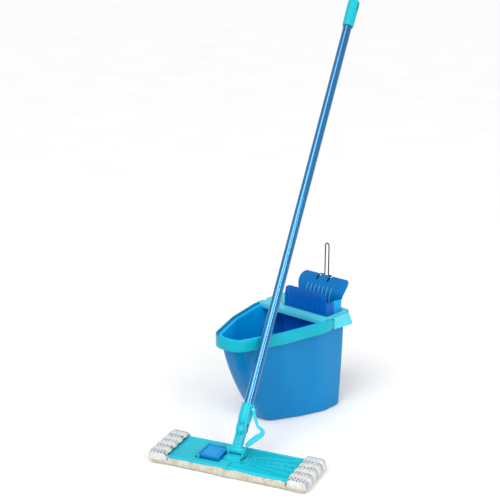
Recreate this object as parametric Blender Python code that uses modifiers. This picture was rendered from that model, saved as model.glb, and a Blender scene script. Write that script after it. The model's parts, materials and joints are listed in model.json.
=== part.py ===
# Flat mop leaning on an oval bucket with a lift-out wringer.
# Metres, +Z up.  The origin is the centre of the bucket's base, on the floor.
# +X runs from the bucket's nose to its wringer end.
import math
import bpy
import bmesh
from mathutils import Matrix, Vector

# ---------------------------------------------------------------- dimensions
# bucket, in its own plan: s along the length from the nose, t across
X_NOSE = -0.230            # x of the nose's outermost point
H_RIM = 0.247              # top of the carrying handle and of the collar
RIM = [(0.0, 0.036), (0.120, 0.083), (0.235, 0.1085), (0.352, 0.108)]
RIM_R = [0.042, 0.120, 0.150, 0.022]
BASE = [(0.130, 0.026), (0.205, 0.068), (0.270, 0.0935), (0.336, 0.094)]
BASE_R = [0.030, 0.080, 0.090, 0.020]
WALL_IN = 0.0125           # the body's wall stands this far inside the rim's edge
WALL = 0.0025
FLANGE_IN = 0.0035         # outer edge of the body's rim flange
SWELL = 1.55               # how fast the nose runs in towards the base
BAND_T = 0.0026            # carrying handle's band
BAND_H = 0.029
S_PIVOT = 0.262            # the handle's pivot, from the nose
Z_PIVOT = 0.2325
S_COLLAR = 0.2785          # where the fixed collar starts

# wringer insert
WX0, WX1 = 0.0445, 0.1035  # front and back outer faces
WY0, WY1 = -0.0885, 0.0480
W_SPLIT = 0.0710
W_WALL = 0.0024
W_BOTTOM = 0.135
W_FRONT_TOP = 0.3005
W_END_TOP = 0.2795
FLARE_R, FLARE_A, FLARE_Z0 = 0.0545, math.radians(65), 0.2640   # back wall's curl
WIRE_R = 0.0011
WIRE_Y = -0.0150
WIRE_H = 0.082             # loop above its feet
WIRE_FOOT, WIRE_LEG = 0.0165, 0.0055

# mop
MOP_X, MOP_Y = -0.3237, -0.1228
MOP_YAW = math.radians(-72.54)
LEAN = math.radians(38.25)
Z_TILT = 0.040             # cross-bar axis above the floor
L_BOSS = 0.047             # cross-bar to the round boss
L_TOP = 1.180              # cross-bar to the end of the handle
TUBE_R = 0.011
TUBE_T = 0.0009
HANG_R, HANG_RUN, HANG_TOP = 0.0060, 0.012, 0.0075   # hanging slot in the end cap
PAD_L, PAD_W, PAD_H = 0.190, 0.062, 0.0135
WING_L, WING_W = 0.1715, 0.055
WING_Z0, WING_Z1 = 0.0140, 0.0235
U_HINGE, Z_HINGE = 0.022, 0.0185
POCKET_U = 0.143
POCKET_Z = 0.0285
GAP = 0.0003

for old in list(bpy.data.objects):
    bpy.data.objects.remove(old, do_unlink=True)

parts = bpy.data.collections.new("mop_and_bucket")
tools = bpy.data.collections.new("cutters")
bpy.context.scene.collection.children.link(parts)
bpy.context.scene.collection.children.link(tools)


# ---------------------------------------------------------------- materials
def material(name, color, roughness, metallic=0.0, alpha=1.0):
    mat = bpy.data.materials.new(name)
    mat.use_nodes = True
    bsdf = mat.node_tree.nodes["Principled BSDF"]
    bsdf.inputs["Base Color"].default_value = (*color, 1.0)
    bsdf.inputs["Roughness"].default_value = roughness
    bsdf.inputs["Metallic"].default_value = metallic
    bsdf.inputs["Alpha"].default_value = alpha
    mat.diffuse_color = (*color, 1.0)
    return mat


BLUE = (0.010, 0.230, 0.620)
DEEP = (0.006, 0.110, 0.430)
TEAL = (0.045, 0.520, 0.600)


# ---------------------------------------------------------------- helpers
def empty(name, loc, rot=(0, 0, 0), parent=None):
    e = bpy.data.objects.new(name, None)
    parts.objects.link(e)
    e.location = loc
    e.rotation_euler = rot
    e.parent = parent
    return e


def add(name, mesh, mat=None, parent=None, loc=(0, 0, 0), rot=(0, 0, 0), smooth=35):
    obj = bpy.data.objects.new(name, mesh)
    parts.objects.link(obj)
    obj.location = loc
    obj.rotation_euler = rot
    obj.parent = parent
    if mat:
        mesh.materials.append(mat)
    if smooth:
        mesh.shade_smooth()
        mesh.set_sharp_from_angle(angle=math.radians(smooth))
    return obj


def to_mesh(name, bm):
    bmesh.ops.recalc_face_normals(bm, faces=bm.faces)
    mesh = bpy.data.meshes.new(name)
    bm.to_mesh(mesh)
    bm.free()
    return mesh


def box(name, lo, hi, *args, **kw):
    bm = bmesh.new()
    size = [hi[i] - lo[i] for i in range(3)]
    mid = [(hi[i] + lo[i]) / 2 for i in range(3)]
    mtx = Matrix.Translation(mid) @ Matrix.Diagonal((*size, 1))
    bmesh.ops.create_cube(bm, size=1.0, matrix=mtx)
    return add(name, to_mesh(name, bm), *args, **kw)


def cylinder(name, radius, start, end, *args, seg=24, r2=None, **kw):
    a, b = Vector(start), Vector(end)
    turn = Vector((0, 0, 1)).rotation_difference(b - a).to_matrix().to_4x4()
    bm = bmesh.new()
    bmesh.ops.create_cone(bm, cap_ends=True, segments=seg, radius1=radius,
                          radius2=radius if r2 is None else r2, depth=(b - a).length,
                          matrix=Matrix.Translation((a + b) / 2) @ turn)
    return add(name, to_mesh(name, bm), *args, **kw)


def turned(name, profile, *args, steps=28, **kw):
    """Profile of (radius, height), top to bottom on its outer side."""
    mesh = bpy.data.meshes.new(name)
    pts = [(r, 0, z) for r, z in profile]
    closed = profile[0][0] > 1e-6
    edges = [(i, i + 1) for i in range(len(pts) - 1)] + ([(len(pts) - 1, 0)] if closed else [])
    mesh.from_pydata(pts, edges, [])
    obj = add(name, mesh, *args, smooth=0, **kw)
    screw = obj.modifiers.new("turn", "SCREW")
    screw.steps = screw.render_steps = steps
    screw.use_merge_vertices = True
    screw.merge_threshold = 0.00001
    screw.use_smooth_shade = True
    return obj


def flat(name, outline, thickness, holes=(), *args, **kw):
    """A flat outline in local XY, centred on local Z, made from a filled 2D curve."""
    curve = bpy.data.curves.new(name, "CURVE")
    curve.dimensions = "2D"
    curve.fill_mode = "BOTH"
    curve.extrude = thickness / 2
    for ring in (outline, *holes):
        spline = curve.splines.new("POLY")
        spline.points.add(len(ring) - 1)
        for point, (x, y) in zip(spline.points, ring):
            point.co = (x, y, 0, 1)
        spline.use_cyclic_u = True
    tmp = bpy.data.objects.new(name + "_curve", curve)
    tools.objects.link(tmp)
    bpy.context.view_layer.update()
    mesh = bpy.data.meshes.new_from_object(tmp.evaluated_get(bpy.context.evaluated_depsgraph_get()))
    mesh.name = name
    bm = bmesh.new()
    bm.from_mesh(mesh)
    bmesh.ops.remove_doubles(bm, verts=bm.verts, dist=0.00002)
    bmesh.ops.recalc_face_normals(bm, faces=bm.faces)
    bm.to_mesh(mesh)
    bm.free()
    mesh.materials.clear()
    bpy.data.objects.remove(tmp, do_unlink=True)
    return add(name, mesh, *args, **kw)


def wire(name, points, radius, *args, closed=False, res=2, **kw):
    curve = bpy.data.curves.new(name, "CURVE")
    curve.dimensions = "3D"
    curve.bevel_depth = radius
    curve.bevel_resolution = res
    curve.use_fill_caps = True
    spline = curve.splines.new("POLY")
    spline.points.add(len(points) - 1)
    for point, co in zip(spline.points, points):
        point.co = (*co, 1)
    tmp = bpy.data.objects.new(name + "_curve", curve)
    tools.objects.link(tmp)
    bpy.context.view_layer.update()
    mesh = bpy.data.meshes.new_from_object(tmp.evaluated_get(bpy.context.evaluated_depsgraph_get()))
    mesh.name = name
    bm = bmesh.new()
    bm.from_mesh(mesh)
    bmesh.ops.remove_doubles(bm, verts=bm.verts, dist=0.00002)
    bmesh.ops.recalc_face_normals(bm, faces=bm.faces)
    bm.to_mesh(mesh)
    bm.free()
    mesh.materials.clear()
    bpy.data.objects.remove(tmp, do_unlink=True)
    return add(name, mesh, *args, smooth=60, **kw)


def loft(name, rings, *args, cap=True, wrap=False, **kw):
    """Closed rings of equal length joined in order; wrap joins the last to the first."""
    bm = bmesh.new()
    rows = [[bm.verts.new(p) for p in ring] for ring in rings]
    n = len(rows[0])
    pairs = list(zip(rows, rows[1:])) + ([(rows[-1], rows[0])] if wrap else [])
    for low, high in pairs:
        for i in range(n):
            j = (i + 1) % n
            bm.faces.new((low[i], low[j], high[j], high[i]))
    if cap and not wrap:
        bm.faces.new(list(reversed(rows[0])))
        bm.faces.new(rows[-1])
    return add(name, to_mesh(name, bm), *args, **kw)


def tool(obj):
    for coll in list(obj.users_collection):
        coll.objects.unlink(obj)
    tools.objects.link(obj)
    obj.hide_render = True
    obj.display_type = "WIRE"
    return obj


def boolean(obj, other, operation):
    mod = obj.modifiers.new(operation.lower(), "BOOLEAN")
    mod.operation = operation
    mod.solver = "EXACT"
    mod.object = tool(other)
    return obj


def cut(obj, *others):
    for other in others:
        boolean(obj, other, "DIFFERENCE")
    return obj


def join(obj, *others):
    for other in others:
        boolean(obj, other, "UNION")
    return obj


def bevel(obj, width, segments=2, angle=40):
    mod = obj.modifiers.new("bevel", "BEVEL")
    mod.width = width
    mod.segments = segments
    mod.limit_method = "ANGLE"
    mod.angle_limit = math.radians(angle)
    mod.use_clamp_overlap = True
    return obj


# ------------------------------------------------------- outlines in the plan
def offset_polygon(points, dist):
    """Move each edge of a convex counter-clockwise polygon inwards."""
    out = []
    n = len(points)
    for i in range(n):
        p, q, r = Vector(points[i - 1]), Vector(points[i]), Vector(points[(i + 1) % n])
        d0, d1 = (q - p).normalized(), (r - q).normalized()
        n0, n1 = Vector((-d0.y, d0.x)), Vector((-d1.y, d1.x))
        bis = n0 + n1
        out.append(tuple(q + bis * (2 * dist / bis.length_squared)))
    return out


def rounded(points, radii, arc, edge):
    """Fillet a polygon; arc points on each corner, edge points on each side."""
    out = []
    n = len(points)
    ends = []
    for i in range(n):
        p, q, r = Vector(points[i - 1]), Vector(points[i]), Vector(points[(i + 1) % n])
        d0, d1 = (p - q).normalized(), (r - q).normalized()
        half = d0.angle(d1) / 2
        rad = min(radii[i], 0.48 * math.tan(half) * min((p - q).length, (r - q).length))
        centre = q + (d0 + d1).normalized() * (rad / math.sin(half))
        a, b = q + d0 * (rad / math.tan(half)), q + d1 * (rad / math.tan(half))
        fan = []
        va, vb = a - centre, b - centre
        sweep = va.angle_signed(vb)
        for k in range(arc + 1):
            ang = -sweep * k / arc
            c, s = math.cos(ang), math.sin(ang)
            fan.append(centre + Vector((va.x * c - va.y * s, va.x * s + va.y * c)))
        ends.append(fan)
    for i in range(n):
        out.extend(ends[i])
        a, b = ends[i][-1], ends[(i + 1) % n][0]
        out.extend(a.lerp(b, k / (edge + 1)) for k in range(1, edge + 1))
    return [(p.x, p.y) for p in out]


def plan(half, radii, inset=0.0, arc=5, edge=3):
    """Outline in x, y from the half profile, counter-clockwise from the nose."""
    poly = [(X_NOSE + s, -t) for s, t in half] + [(X_NOSE + s, t) for s, t in reversed(half)]
    rads = list(radii) + list(reversed(radii))
    if inset:
        poly = offset_polygon(poly, inset)
        rads = [max(r - inset, 0.002) for r in rads]
    return rounded(poly, rads, arc, edge)


def body_section(z, inset, arc=5, edge=3):
    """Plan of the body's wall at height z, inset from the rim's edge or the base."""
    m = max(0.0, 1.0 - z / H_RIM) ** SWELL
    half = [(a[0] * (1 - m) + b[0] * m, a[1] * (1 - m) + b[1] * m) for a, b in zip(RIM, BASE)]
    rad = [a * (1 - m) + b * m for a, b in zip(RIM_R, BASE_R)]
    return [(x, y, z) for x, y in plan(half, rad, inset * (1 - m) + (inset - WALL_IN) * m, arc, edge)]


# -------------------------------------------------------------------- bucket
blue = material("bucket_blue", BLUE, 0.32)
shell_rings = []
for z, inset in ((0.0, WALL_IN + 0.0055), (0.0010, WALL_IN + 0.0025), (0.0045, WALL_IN),
                 (0.030, WALL_IN), (0.065, WALL_IN), (0.105, WALL_IN), (0.150, WALL_IN),
                 (0.195, WALL_IN), (0.2355, WALL_IN), (0.2385, FLANGE_IN + 0.001),
                 (0.2395, FLANGE_IN), (0.2430, FLANGE_IN), (0.2435, FLANGE_IN + 0.001),
                 (0.2435, WALL_IN), (0.2425, WALL_IN + WALL), (0.195, WALL_IN + WALL),
                 (0.150, WALL_IN + WALL), (0.105, WALL_IN + WALL), (0.065, WALL_IN + WALL),
                 (0.030, WALL_IN + WALL), (0.0070, WALL_IN + WALL), (0.0040, WALL_IN + 0.008)):
    shell_rings.append(body_section(z, inset, arc=5, edge=2))
bucket = loft("bucket_shell", shell_rings, blue, smooth=30)

rim_t = 0.1085 - 0.0          # half width of the rim beside the pivots
PIV_X = X_NOSE + S_PIVOT
for side, tag in ((-1, "near"), (1, "far")):
    lug = cylinder("pivot_lug_" + tag, 0.0070, (PIV_X, side * 0.0948, Z_PIVOT),
                   (PIV_X, side * (rim_t - BAND_T - 0.0006), Z_PIVOT), seg=20)
    hole = cylinder("pivot_hole_" + tag, 0.00305, (PIV_X, side * 0.0965, Z_PIVOT),
                    (PIV_X, side * 0.112, Z_PIVOT), seg=20)
    join(bucket, lug)
    cut(bucket, hole)
    cylinder("bail_pin_" + tag, 0.0030, (0, side * 0.0970, 0), (0, side * (rim_t - 0.0004), 0),
             material("pin_blue_" + tag, DEEP, 0.4), loc=(PIV_X, 0, Z_PIVOT), seg=20)


# --------------------------------------------------- carrying handle (bail)
def rim_path(inset, arc=5, edge=3):
    return plan(RIM, RIM_R, inset, arc, edge)


def band_half_height(x):
    d = x - PIV_X
    if d <= 0:
        return BAND_H / 2
    return math.sqrt(max((BAND_H / 2) ** 2 - d * d, 0.0022 ** 2))


def band_rings(x_end, x_start=None):
    """Rounded-rectangle sections along the rim, round the nose from near to far."""
    outer, inner = rim_path(0.0, 6, 3), rim_path(BAND_T, 6, 3)
    both = list(zip(outer, inner))
    near = [pair for pair in both if pair[0][1] < 0 and pair[0][0] < PIV_X - 0.001]
    far = [pair for pair in both if pair[0][1] >= 0 and pair[0][0] < PIV_X - 0.001]
    near.sort(key=lambda pair: (-pair[0][0], pair[0][1]))
    far.sort(key=lambda pair: (pair[0][0], pair[0][1]))

    def side_pair(x, sign):
        k = (x - (X_NOSE + RIM[2][0])) / (RIM[3][0] - RIM[2][0])
        t = RIM[2][1] + k * (RIM[3][1] - RIM[2][1])
        return ((x, sign * t), (x, sign * (t - BAND_T)))

    tail = [x_end - (x_end - PIV_X) * f for f in (0.0, 0.06, 0.2, 0.42, 0.7, 1.0)]
    line = [side_pair(x, -1) for x in tail] + near + far + [side_pair(x, 1) for x in reversed(tail)]
    rings = []
    for (ox, oy), (ix, iy) in line:
        hh = band_half_height(ox)
        c = min(0.0009, hh * 0.4)
        o, i = Vector((ox, oy, 0)), Vector((ix, iy, 0))
        rings.append([tuple(o.lerp(i, k) + Vector((0, 0, z))) for k, z in (
            (0.0, -hh + c), (0.0, hh - c), (0.35, hh), (0.65, hh), (1.0, hh - c),
            (1.0, -hh + c), (0.65, -hh), (0.35, -hh))])
    return rings


bail_axis = empty("bail_axis", (PIV_X, 0, Z_PIVOT))
shift = Vector((-PIV_X, 0, 0))
band = [[tuple(Vector(p) + shift) for p in ring] for ring in band_rings(PIV_X + BAND_H / 2 - 0.0003)]
bail = loft("bail_handle", band, material("bail_teal", TEAL, 0.35), bail_axis, smooth=40)
for side, tag in ((-1, "near"), (1, "far")):
    cut(bail, cylinder("bail_bore_" + tag, 0.00306, (0, side * 0.100, 0), (0, side * 0.115, 0),
                       None, bail_axis, seg=20))

# -------------------------------------------------------------- fixed collar
collar_mat = material("collar_teal", TEAL, 0.35)
outline = rim_path(0.0008, 6, 4)
X_COL = X_NOSE + S_COLLAR
X_BAR0, X_BAR1 = X_NOSE + 0.245, X_NOSE + 0.2725
inner_edge = rim_path(0.0052, 6, 4)


def half_at(path, x):
    """Half width of an outline at x."""
    best = 0.0
    for p, q in zip(path, path[1:] + path[:1]):
        if (p[0] - x) * (q[0] - x) <= 0 and abs(p[0] - q[0]) > 1e-9:
            best = max(best, abs(p[1] + (q[1] - p[1]) * (x - p[0]) / (q[0] - p[0])))
    return best


rear = [p for p in outline if p[0] > X_COL + 0.0004]
rear.sort(key=lambda p: math.atan2(p[1], p[0] - 0.02))
collar_out = ([(X_BAR0, half_at(inner_edge, X_BAR0)), (X_BAR0, -half_at(inner_edge, X_BAR0)),
               (X_COL, -half_at(inner_edge, X_COL)), (X_COL, -half_at(outline, X_COL))]
              + rear
              + [(X_COL, half_at(outline, X_COL)), (X_COL, half_at(inner_edge, X_COL))])
CO0, CO1 = (WX0 - 0.0022, WY0 - 0.0020), (WX1 + 0.0022, WY1 + 0.0020)
opening = rounded([CO0, (CO1[0], CO0[1]), CO1, (CO0[0], CO1[1])], [0.003] * 4, 2, 0)
collar = flat("wringer_collar", collar_out, 0.0030, [opening], collar_mat, None,
              (0, 0, H_RIM - 0.0015))


def with_normals(path):
    """Each point of a counter-clockwise outline with its outward normal."""
    out = []
    for i, p in enumerate(path):
        t = (Vector(path[(i + 1) % len(path)]) - Vector(path[i - 1])).normalized()
        out.append((Vector(p), Vector((t.y, -t.x))))
    return out


def skirt_rings():
    """Sections of the collar's skirt, near side to far side, flaring out to the back."""
    levels = ((0.0014, 0.0), (0.010, 0.25), (0.0305, 1.0))
    x0 = X_COL + 0.0003
    side = half_at(rim_path(0.0, 6, 4), x0)
    path = [e for e in with_normals(rim_path(0.0, 6, 4)) if e[0].x > x0 + 0.001]
    path.sort(key=lambda e: math.atan2(e[0].y, e[0].x - 0.02))
    path = ([(Vector((x0, -side)), Vector((0, -1)))] + path + [(Vector((x0, side)), Vector((0, 1)))])
    rings = []
    for base, nrm in path:
        k = min(1.0, max(0.0, (base.x - X_COL) / 0.062))
        k = k * k * (3 - 2 * k)
        outer = [(base + nrm * (0.0095 * k * f), H_RIM - d) for d, f in levels]
        inner = [(base + nrm * (0.0095 * k * f - 0.0026), H_RIM - d) for d, f in reversed(levels)]
        rings.append([(p.x, p.y, z) for p, z in outer + inner])
    return rings


skirt = loft("collar_skirt", skirt_rings(), None)
bar_rib = box("collar_bar_rib", (X_BAR0 + 0.0004, -0.0880, H_RIM - 0.012),
              (X_BAR0 + 0.0032, 0.0880, H_RIM - 0.0020))
join(collar, skirt, bar_rib)

# ------------------------------------------------------------------- wringer
wringer_mat = material("wringer_blue", DEEP, 0.30)
wringer_mat2 = material("wringer_back_blue", (0.008, 0.190, 0.620), 0.30)


def sheet(name, grid, thickness, mat, parent=None, loc=(0, 0, 0), offset=-1.0):
    """A wall from a grid of points: columns along the wall, rows going up."""
    bm = bmesh.new()
    cols = [[bm.verts.new(p) for p in col] for col in grid]
    for a, b in zip(cols, cols[1:]):
        for i in range(len(a) - 1):
            bm.faces.new((a[i], b[i], b[i + 1], a[i + 1]))
    mesh = bpy.data.meshes.new(name)
    bm.to_mesh(mesh)
    bm.free()
    obj = add(name, mesh, mat, parent, loc, smooth=30)
    solid = obj.modifiers.new("wall", "SOLIDIFY")
    solid.thickness = thickness
    solid.offset = offset
    solid.use_even_offset = True
    return obj


def front_top(y):
    """Top edge of the front wall: level, rounding down at both ends."""
    drop = W_FRONT_TOP - W_END_TOP
    edge = min(y - WY0, WY1 - y)
    if edge > drop:
        return W_FRONT_TOP
    return W_END_TOP + math.sqrt(max(drop ** 2 - (drop - edge) ** 2, 0.0))


RIBS = 9
front_cols = []
for x in (W_SPLIT - 0.0002, WX0 + 0.006):
    front_cols.append((x, WY0, W_END_TOP))
front_cols.append((WX0 + 0.0015, WY0 + 0.0004, W_END_TOP + 0.0004))
span0, span1 = WY0 + 0.0020, WY1 - 0.0020
front_cols.append((WX0, span0, front_top(span0)))
pitch = (span1 - span0 - 0.008) / RIBS
for k in range(RIBS):
    y0 = span0 + 0.004 + k * pitch
    for f, dx in ((0.10, 0.0), (0.22, 0.0010), (0.62, 0.0010), (0.74, 0.0)):
        y = y0 + f * pitch
        front_cols.append((WX0 + dx, y, front_top(y)))
front_cols.append((WX0, span1, front_top(span1)))
front_cols.append((WX0 + 0.0015, WY1 - 0.0004, W_END_TOP + 0.0004))
for x in (WX0 + 0.006, W_SPLIT - 0.0002):
    front_cols.append((x, WY1, W_END_TOP))
grid = [[(x, y, W_BOTTOM), (x, y, 0.200), (x, y, 0.2460), (x, y, top)] for x, y, top in front_cols]
wringer_front = sheet("wringer_front", grid, W_WALL, wringer_mat, offset=1.0)


def flare(v, out=0.0):
    """Outline of the back wall from upright (0) to its curled top edge (1)."""
    a = max(v, 0.0) * FLARE_A
    return (WX1 + FLARE_R * (1 - math.cos(a)) - math.cos(a) * out,
            FLARE_Z0 + FLARE_R * math.sin(a) + math.sin(a) * out)


NOTCH = (WIRE_Y - WIRE_FOOT, WIRE_Y + WIRE_FOOT)
edge_y = [WY0 - 0.0030, WY0 - 0.0018, WY0 + 0.001, WY0 + 0.006, WY0 + 0.014, WY0 + 0.024]
edge_y += [NOTCH[0] - 0.0042, NOTCH[0] - 0.0026, NOTCH[0] + 0.0026, NOTCH[0] + 0.0042,
           WIRE_Y - 0.006, WIRE_Y, WIRE_Y + 0.006,
           NOTCH[1] - 0.0042, NOTCH[1] - 0.0026, NOTCH[1] + 0.0026, NOTCH[1] + 0.0042]
edge_y += [WY1 - 0.034, WY1 - 0.024, WY1 - 0.014, WY1 - 0.006, WY1 + 0.001, WY1 + 0.0050, WY1 + 0.0065]
back_cols = [[(x, WY0, z) for z in (W_BOTTOM, 0.200, 0.2460, W_END_TOP - f * 0.0035)]
             for x, f in ((W_SPLIT + 0.0002, 0.0), (WX1 - 0.014, 0.6), (WX1 - 0.003, 1.0))]
back_end = [[(x, WY1, z) for z in (W_BOTTOM, 0.200, 0.2460, W_END_TOP - f * 0.0035)]
            for x, f in ((WX1 - 0.003, 1.0), (WX1 - 0.014, 0.6), (W_SPLIT + 0.0002, 0.0))]
side = sheet("wringer_back_near", back_cols + [[(WX1, WY0 + 0.0025, z) for z in
             (W_BOTTOM, 0.200, 0.2460, W_END_TOP - 0.0040)]], W_WALL, None, offset=-1.0)
rows = 8
plate = []
for k, y in enumerate(edge_y):
    share = (y - edge_y[0]) / (edge_y[-1] - edge_y[0])
    in_body = WY0 + 0.0022 + share * (WY1 - WY0 - 0.0044)
    lim = 1.0
    for end, sgn in ((edge_y[0], 1), (edge_y[-1], -1)):
        d = (y - end) * sgn
        if d < 0.013:
            lim = min(lim, 0.66 + 0.34 * math.sqrt(max(0.0, 1 - ((0.013 - d) / 0.013) ** 2)))
    near_notch = min(abs(y - NOTCH[0]), abs(y - NOTCH[1]))
    if near_notch < 0.003:
        lim -= 0.10
    col = [(WX1, in_body, W_BOTTOM), (WX1, in_body, 0.200), (WX1, in_body, 0.2460)]
    for r in range(rows):
        v = r / (rows - 1) * lim
        x, z = flare(v)
        spread = min(1.0, v * 1.6)
        col.append((x, in_body + (y - in_body) * spread, z))
    plate.append(col)
wringer_back = sheet("wringer_back", plate, W_WALL, wringer_mat2, offset=-1.0)
far_side = sheet("wringer_back_far", [[(WX1, WY1 - 0.0025, z) for z in
                 (W_BOTTOM, 0.200, 0.2460, W_END_TOP - 0.0040)]] + back_end, W_WALL, None, offset=-1.0)
join(wringer_back, side, far_side)

# ledges that rest on the collar, and clips that hold the two halves together
join(wringer_front, box("front_ledge", (WX0 - 0.0048, WY0 + 0.004, H_RIM + 0.0003),
                        (WX0 + 0.0012, WY1 - 0.004, H_RIM + 0.0030)))
join(wringer_back, box("back_ledge", (WX1 - 0.0012, WY0 + 0.004, H_RIM + 0.0003),
                       (WX1 + 0.0052, WY1 - 0.004, H_RIM + 0.0030)))
for y0, y1, tag in ((WY0 - 0.0015, WY0 - 0.0003, "near"), (WY1 + 0.0003, WY1 + 0.0015, "far")):
    box("wringer_clip_" + tag, (-0.0075, y0, -0.0110), (0.0075, y1, 0.0110),
        material("clip_blue_" + tag, DEEP, 0.4), loc=(W_SPLIT, 0, 0.2250))

# wire loop: its feet lie on the back wall's top edge, its ends hook down in front of the wall
fx, fz = flare(1.0, W_WALL / 2)
WX = fx + math.sin(FLARE_A) * (WIRE_R + 0.0005)
WZ = fz + math.cos(FLARE_A) * (WIRE_R + 0.0005)
wire_axis = empty("wire_axis", (WX, WIRE_Y, WZ))
hooks = [flare(v, W_WALL + WIRE_R + 0.0006) for v in (0.70, 0.78, 0.86, 0.93)]
pts = [(x - WX, -WIRE_FOOT, z - WZ) for x, z in hooks]
pts += [(-0.0012, -WIRE_FOOT, 0.0002), (0, -WIRE_FOOT + 0.0012, 0), (0, -WIRE_LEG - 0.0020, 0),
        (0, -WIRE_LEG - 0.0006, 0.0006), (0, -WIRE_LEG, 0.0020)]
pts += [(0, -WIRE_LEG, 0.002 + (WIRE_H - WIRE_LEG - 0.002) * k / 3) for k in (1, 2)]
half_loop = len(pts)
for k in range(9):
    a = math.pi * k / 8
    pts.append((0, -WIRE_LEG * math.cos(a), WIRE_H - WIRE_LEG + WIRE_LEG * math.sin(a)))
pts += [(x, -y, z) for x, y, z in reversed(pts[:half_loop])]
wire("wire_loop", pts, WIRE_R, material("wire_black", (0.02, 0.02, 0.022), 0.35, 0.6), wire_axis)

# ----------------------------------------------------------------- mop head
mop = empty("mop_frame", (MOP_X, MOP_Y, 0), (0, 0, MOP_YAW))
teal = material("block_teal", TEAL, 0.35)
steel = material("pin_steel", (0.55, 0.56, 0.58), 0.3, 1.0)

block = box("centre_block", (-0.0165, -0.020, 0.0182), (0.0165, 0.020, 0.0300), teal, mop)
for sx, tag in ((-1, "left"), (1, "right")):
    for sy, end in ((-1, "near"), (1, "far")):
        y0, y1 = sorted((sy * 0.0110, sy * 0.0198))
        lug = cylinder(f"lug_{tag}_{end}", 0.0042, (sx * U_HINGE, y0, Z_HINGE),
                       (sx * U_HINGE, y1, Z_HINGE), None, mop, seg=16)
        x0, x1 = sorted((sx * 0.0150, sx * 0.0215))
        web = box(f"lug_web_{tag}_{end}", (x0, y0 + 0.0002, 0.0185), (x1, y1 - 0.0002, 0.0224), None, mop)
        join(block, lug, web)
    x0, x1 = sorted((sx * 0.0150, sx * 0.0195))
    ear = box("ear_" + tag, (x0, -0.0082, 0.0290), (x1, 0.0082, Z_TILT), None, mop)
    ear_top = cylinder("ear_top_" + tag, 0.0082, (x0 + 0.0001, 0, Z_TILT), (x1 - 0.0001, 0, Z_TILT),
                       None, mop, seg=24)
    join(block, ear, ear_top)
for sx, tag in ((-1, "left"), (1, "right")):
    cut(block, cylinder("lug_bore_" + tag, 0.00165, (sx * U_HINGE, -0.03, Z_HINGE),
                        (sx * U_HINGE, 0.03, Z_HINGE), None, mop, seg=16))
    cylinder("wing_pin_" + tag, 0.0016, (0, -0.0205, 0), (0, 0.0205, 0), steel, mop,
             (sx * U_HINGE, 0, Z_HINGE), seg=16)
cut(block, cylinder("tilt_bore", 0.00256, (-0.03, 0, Z_TILT), (0.03, 0, Z_TILT), None, mop, seg=20))
cylinder("tilt_pin", 0.0025, (-0.0228, 0, 0), (0.0228, 0, 0), steel, mop, (0, 0, Z_TILT), seg=20)


# -------------------------------------------------------------------- wings
def wing(sx, tag):
    axis = empty(f"wing_axis_{tag}", (sx * U_HINGE, 0, Z_HINGE), (0, 0, 0), mop)
    dx, dz = sx * U_HINGE, Z_HINGE

    def u(val):
        return sx * val - dx

    pts = [(0.0006, -WING_W), (WING_L, -WING_W), (WING_L, WING_W), (0.0006, WING_W),
           (0.0006, 0.0215), (0.0275, 0.0215), (0.0275, -0.0215), (0.0006, -0.0215)]
    rads = [0.0015, 0.014, 0.014, 0.0015, 0.0005, 0.001, 0.001, 0.0005]
    ring = rounded([(x, y) for x, y in pts], rads, 3, 0)
    ring = [(u(x), y) for x, y in ring]
    if sx < 0:
        ring.reverse()
    hgt = WING_Z1 - WING_Z0
    body = flat("wing_" + tag, ring, hgt, (), material("wing_teal_" + tag, TEAL, 0.35), axis,
                (0, 0, (WING_Z0 + WING_Z1) / 2 - dz), smooth=30)

    def inner(name, x0, x1, y0, y1, z0=WING_Z0 + 0.0030, z1=WING_Z1 + 0.004):
        a, b = sorted((u(x0), u(x1)))
        return box(name, (a, y0, z0 - dz), (b, y1, z1 - dz), None, axis)

    cut(body, inner(f"tray_{tag}", 0.0300, WING_L - 0.0035, -WING_W + 0.0035, WING_W - 0.0035))
    for sy, end in ((-1, "near"), (1, "far")):
        y0, y1 = sorted((sy * 0.0250, sy * (WING_W - 0.0035)))
        cut(body, inner(f"tab_tray_{tag}_{end}", 0.0040, 0.0310, y0, y1))
    knuckle = cylinder("knuckle_" + tag, 0.0042, (0, -0.0106, 0), (0, 0.0106, 0), None, axis, seg=16)
    web = inner("knuckle_web_" + tag, U_HINGE, 0.0290, -0.0104, 0.0104, 0.0160, 0.0212)
    join(body, knuckle, web)
    cut(body, cylinder("knuckle_bore_" + tag, 0.00165, (0, -0.03, 0), (0, 0.03, 0), None, axis, seg=16))
    return axis, body, u, dz


left_axis, wing_left, ul, dzl = wing(-1, "left")
right_axis, wing_right, ur, dzr = wing(1, "right")

# long stiffening ribs spread from the joint on the right wing
for k, (y0, y1) in enumerate(((-0.0165, -0.0420), (-0.0060, -0.0150), (0.0060, 0.0150), (0.0165, 0.0420))):
    a, b = Vector((ur(0.0310), y0, 0)), Vector((ur(0.1380), y1, 0))
    d = (b - a).normalized()
    n = Vector((-d.y, d.x, 0)) * 0.0013
    ring = [tuple(p)[:2] for p in (a - n, b - n, b + n, a + n)]
    rib = flat(f"rib_{k}", ring, 0.0072, (), None, right_axis, (0, 0, WING_Z0 + 0.0022 + 0.0036 - dzr),
               smooth=0)
    join(wing_right, rib)
cross = box("rib_cross", (ur(0.1360), -WING_W + 0.002, WING_Z0 + 0.002 - dzr),
            (ur(0.1386), WING_W - 0.002, WING_Z1 - 0.0004 - dzr), None, right_axis)
join(wing_right, cross)

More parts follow.
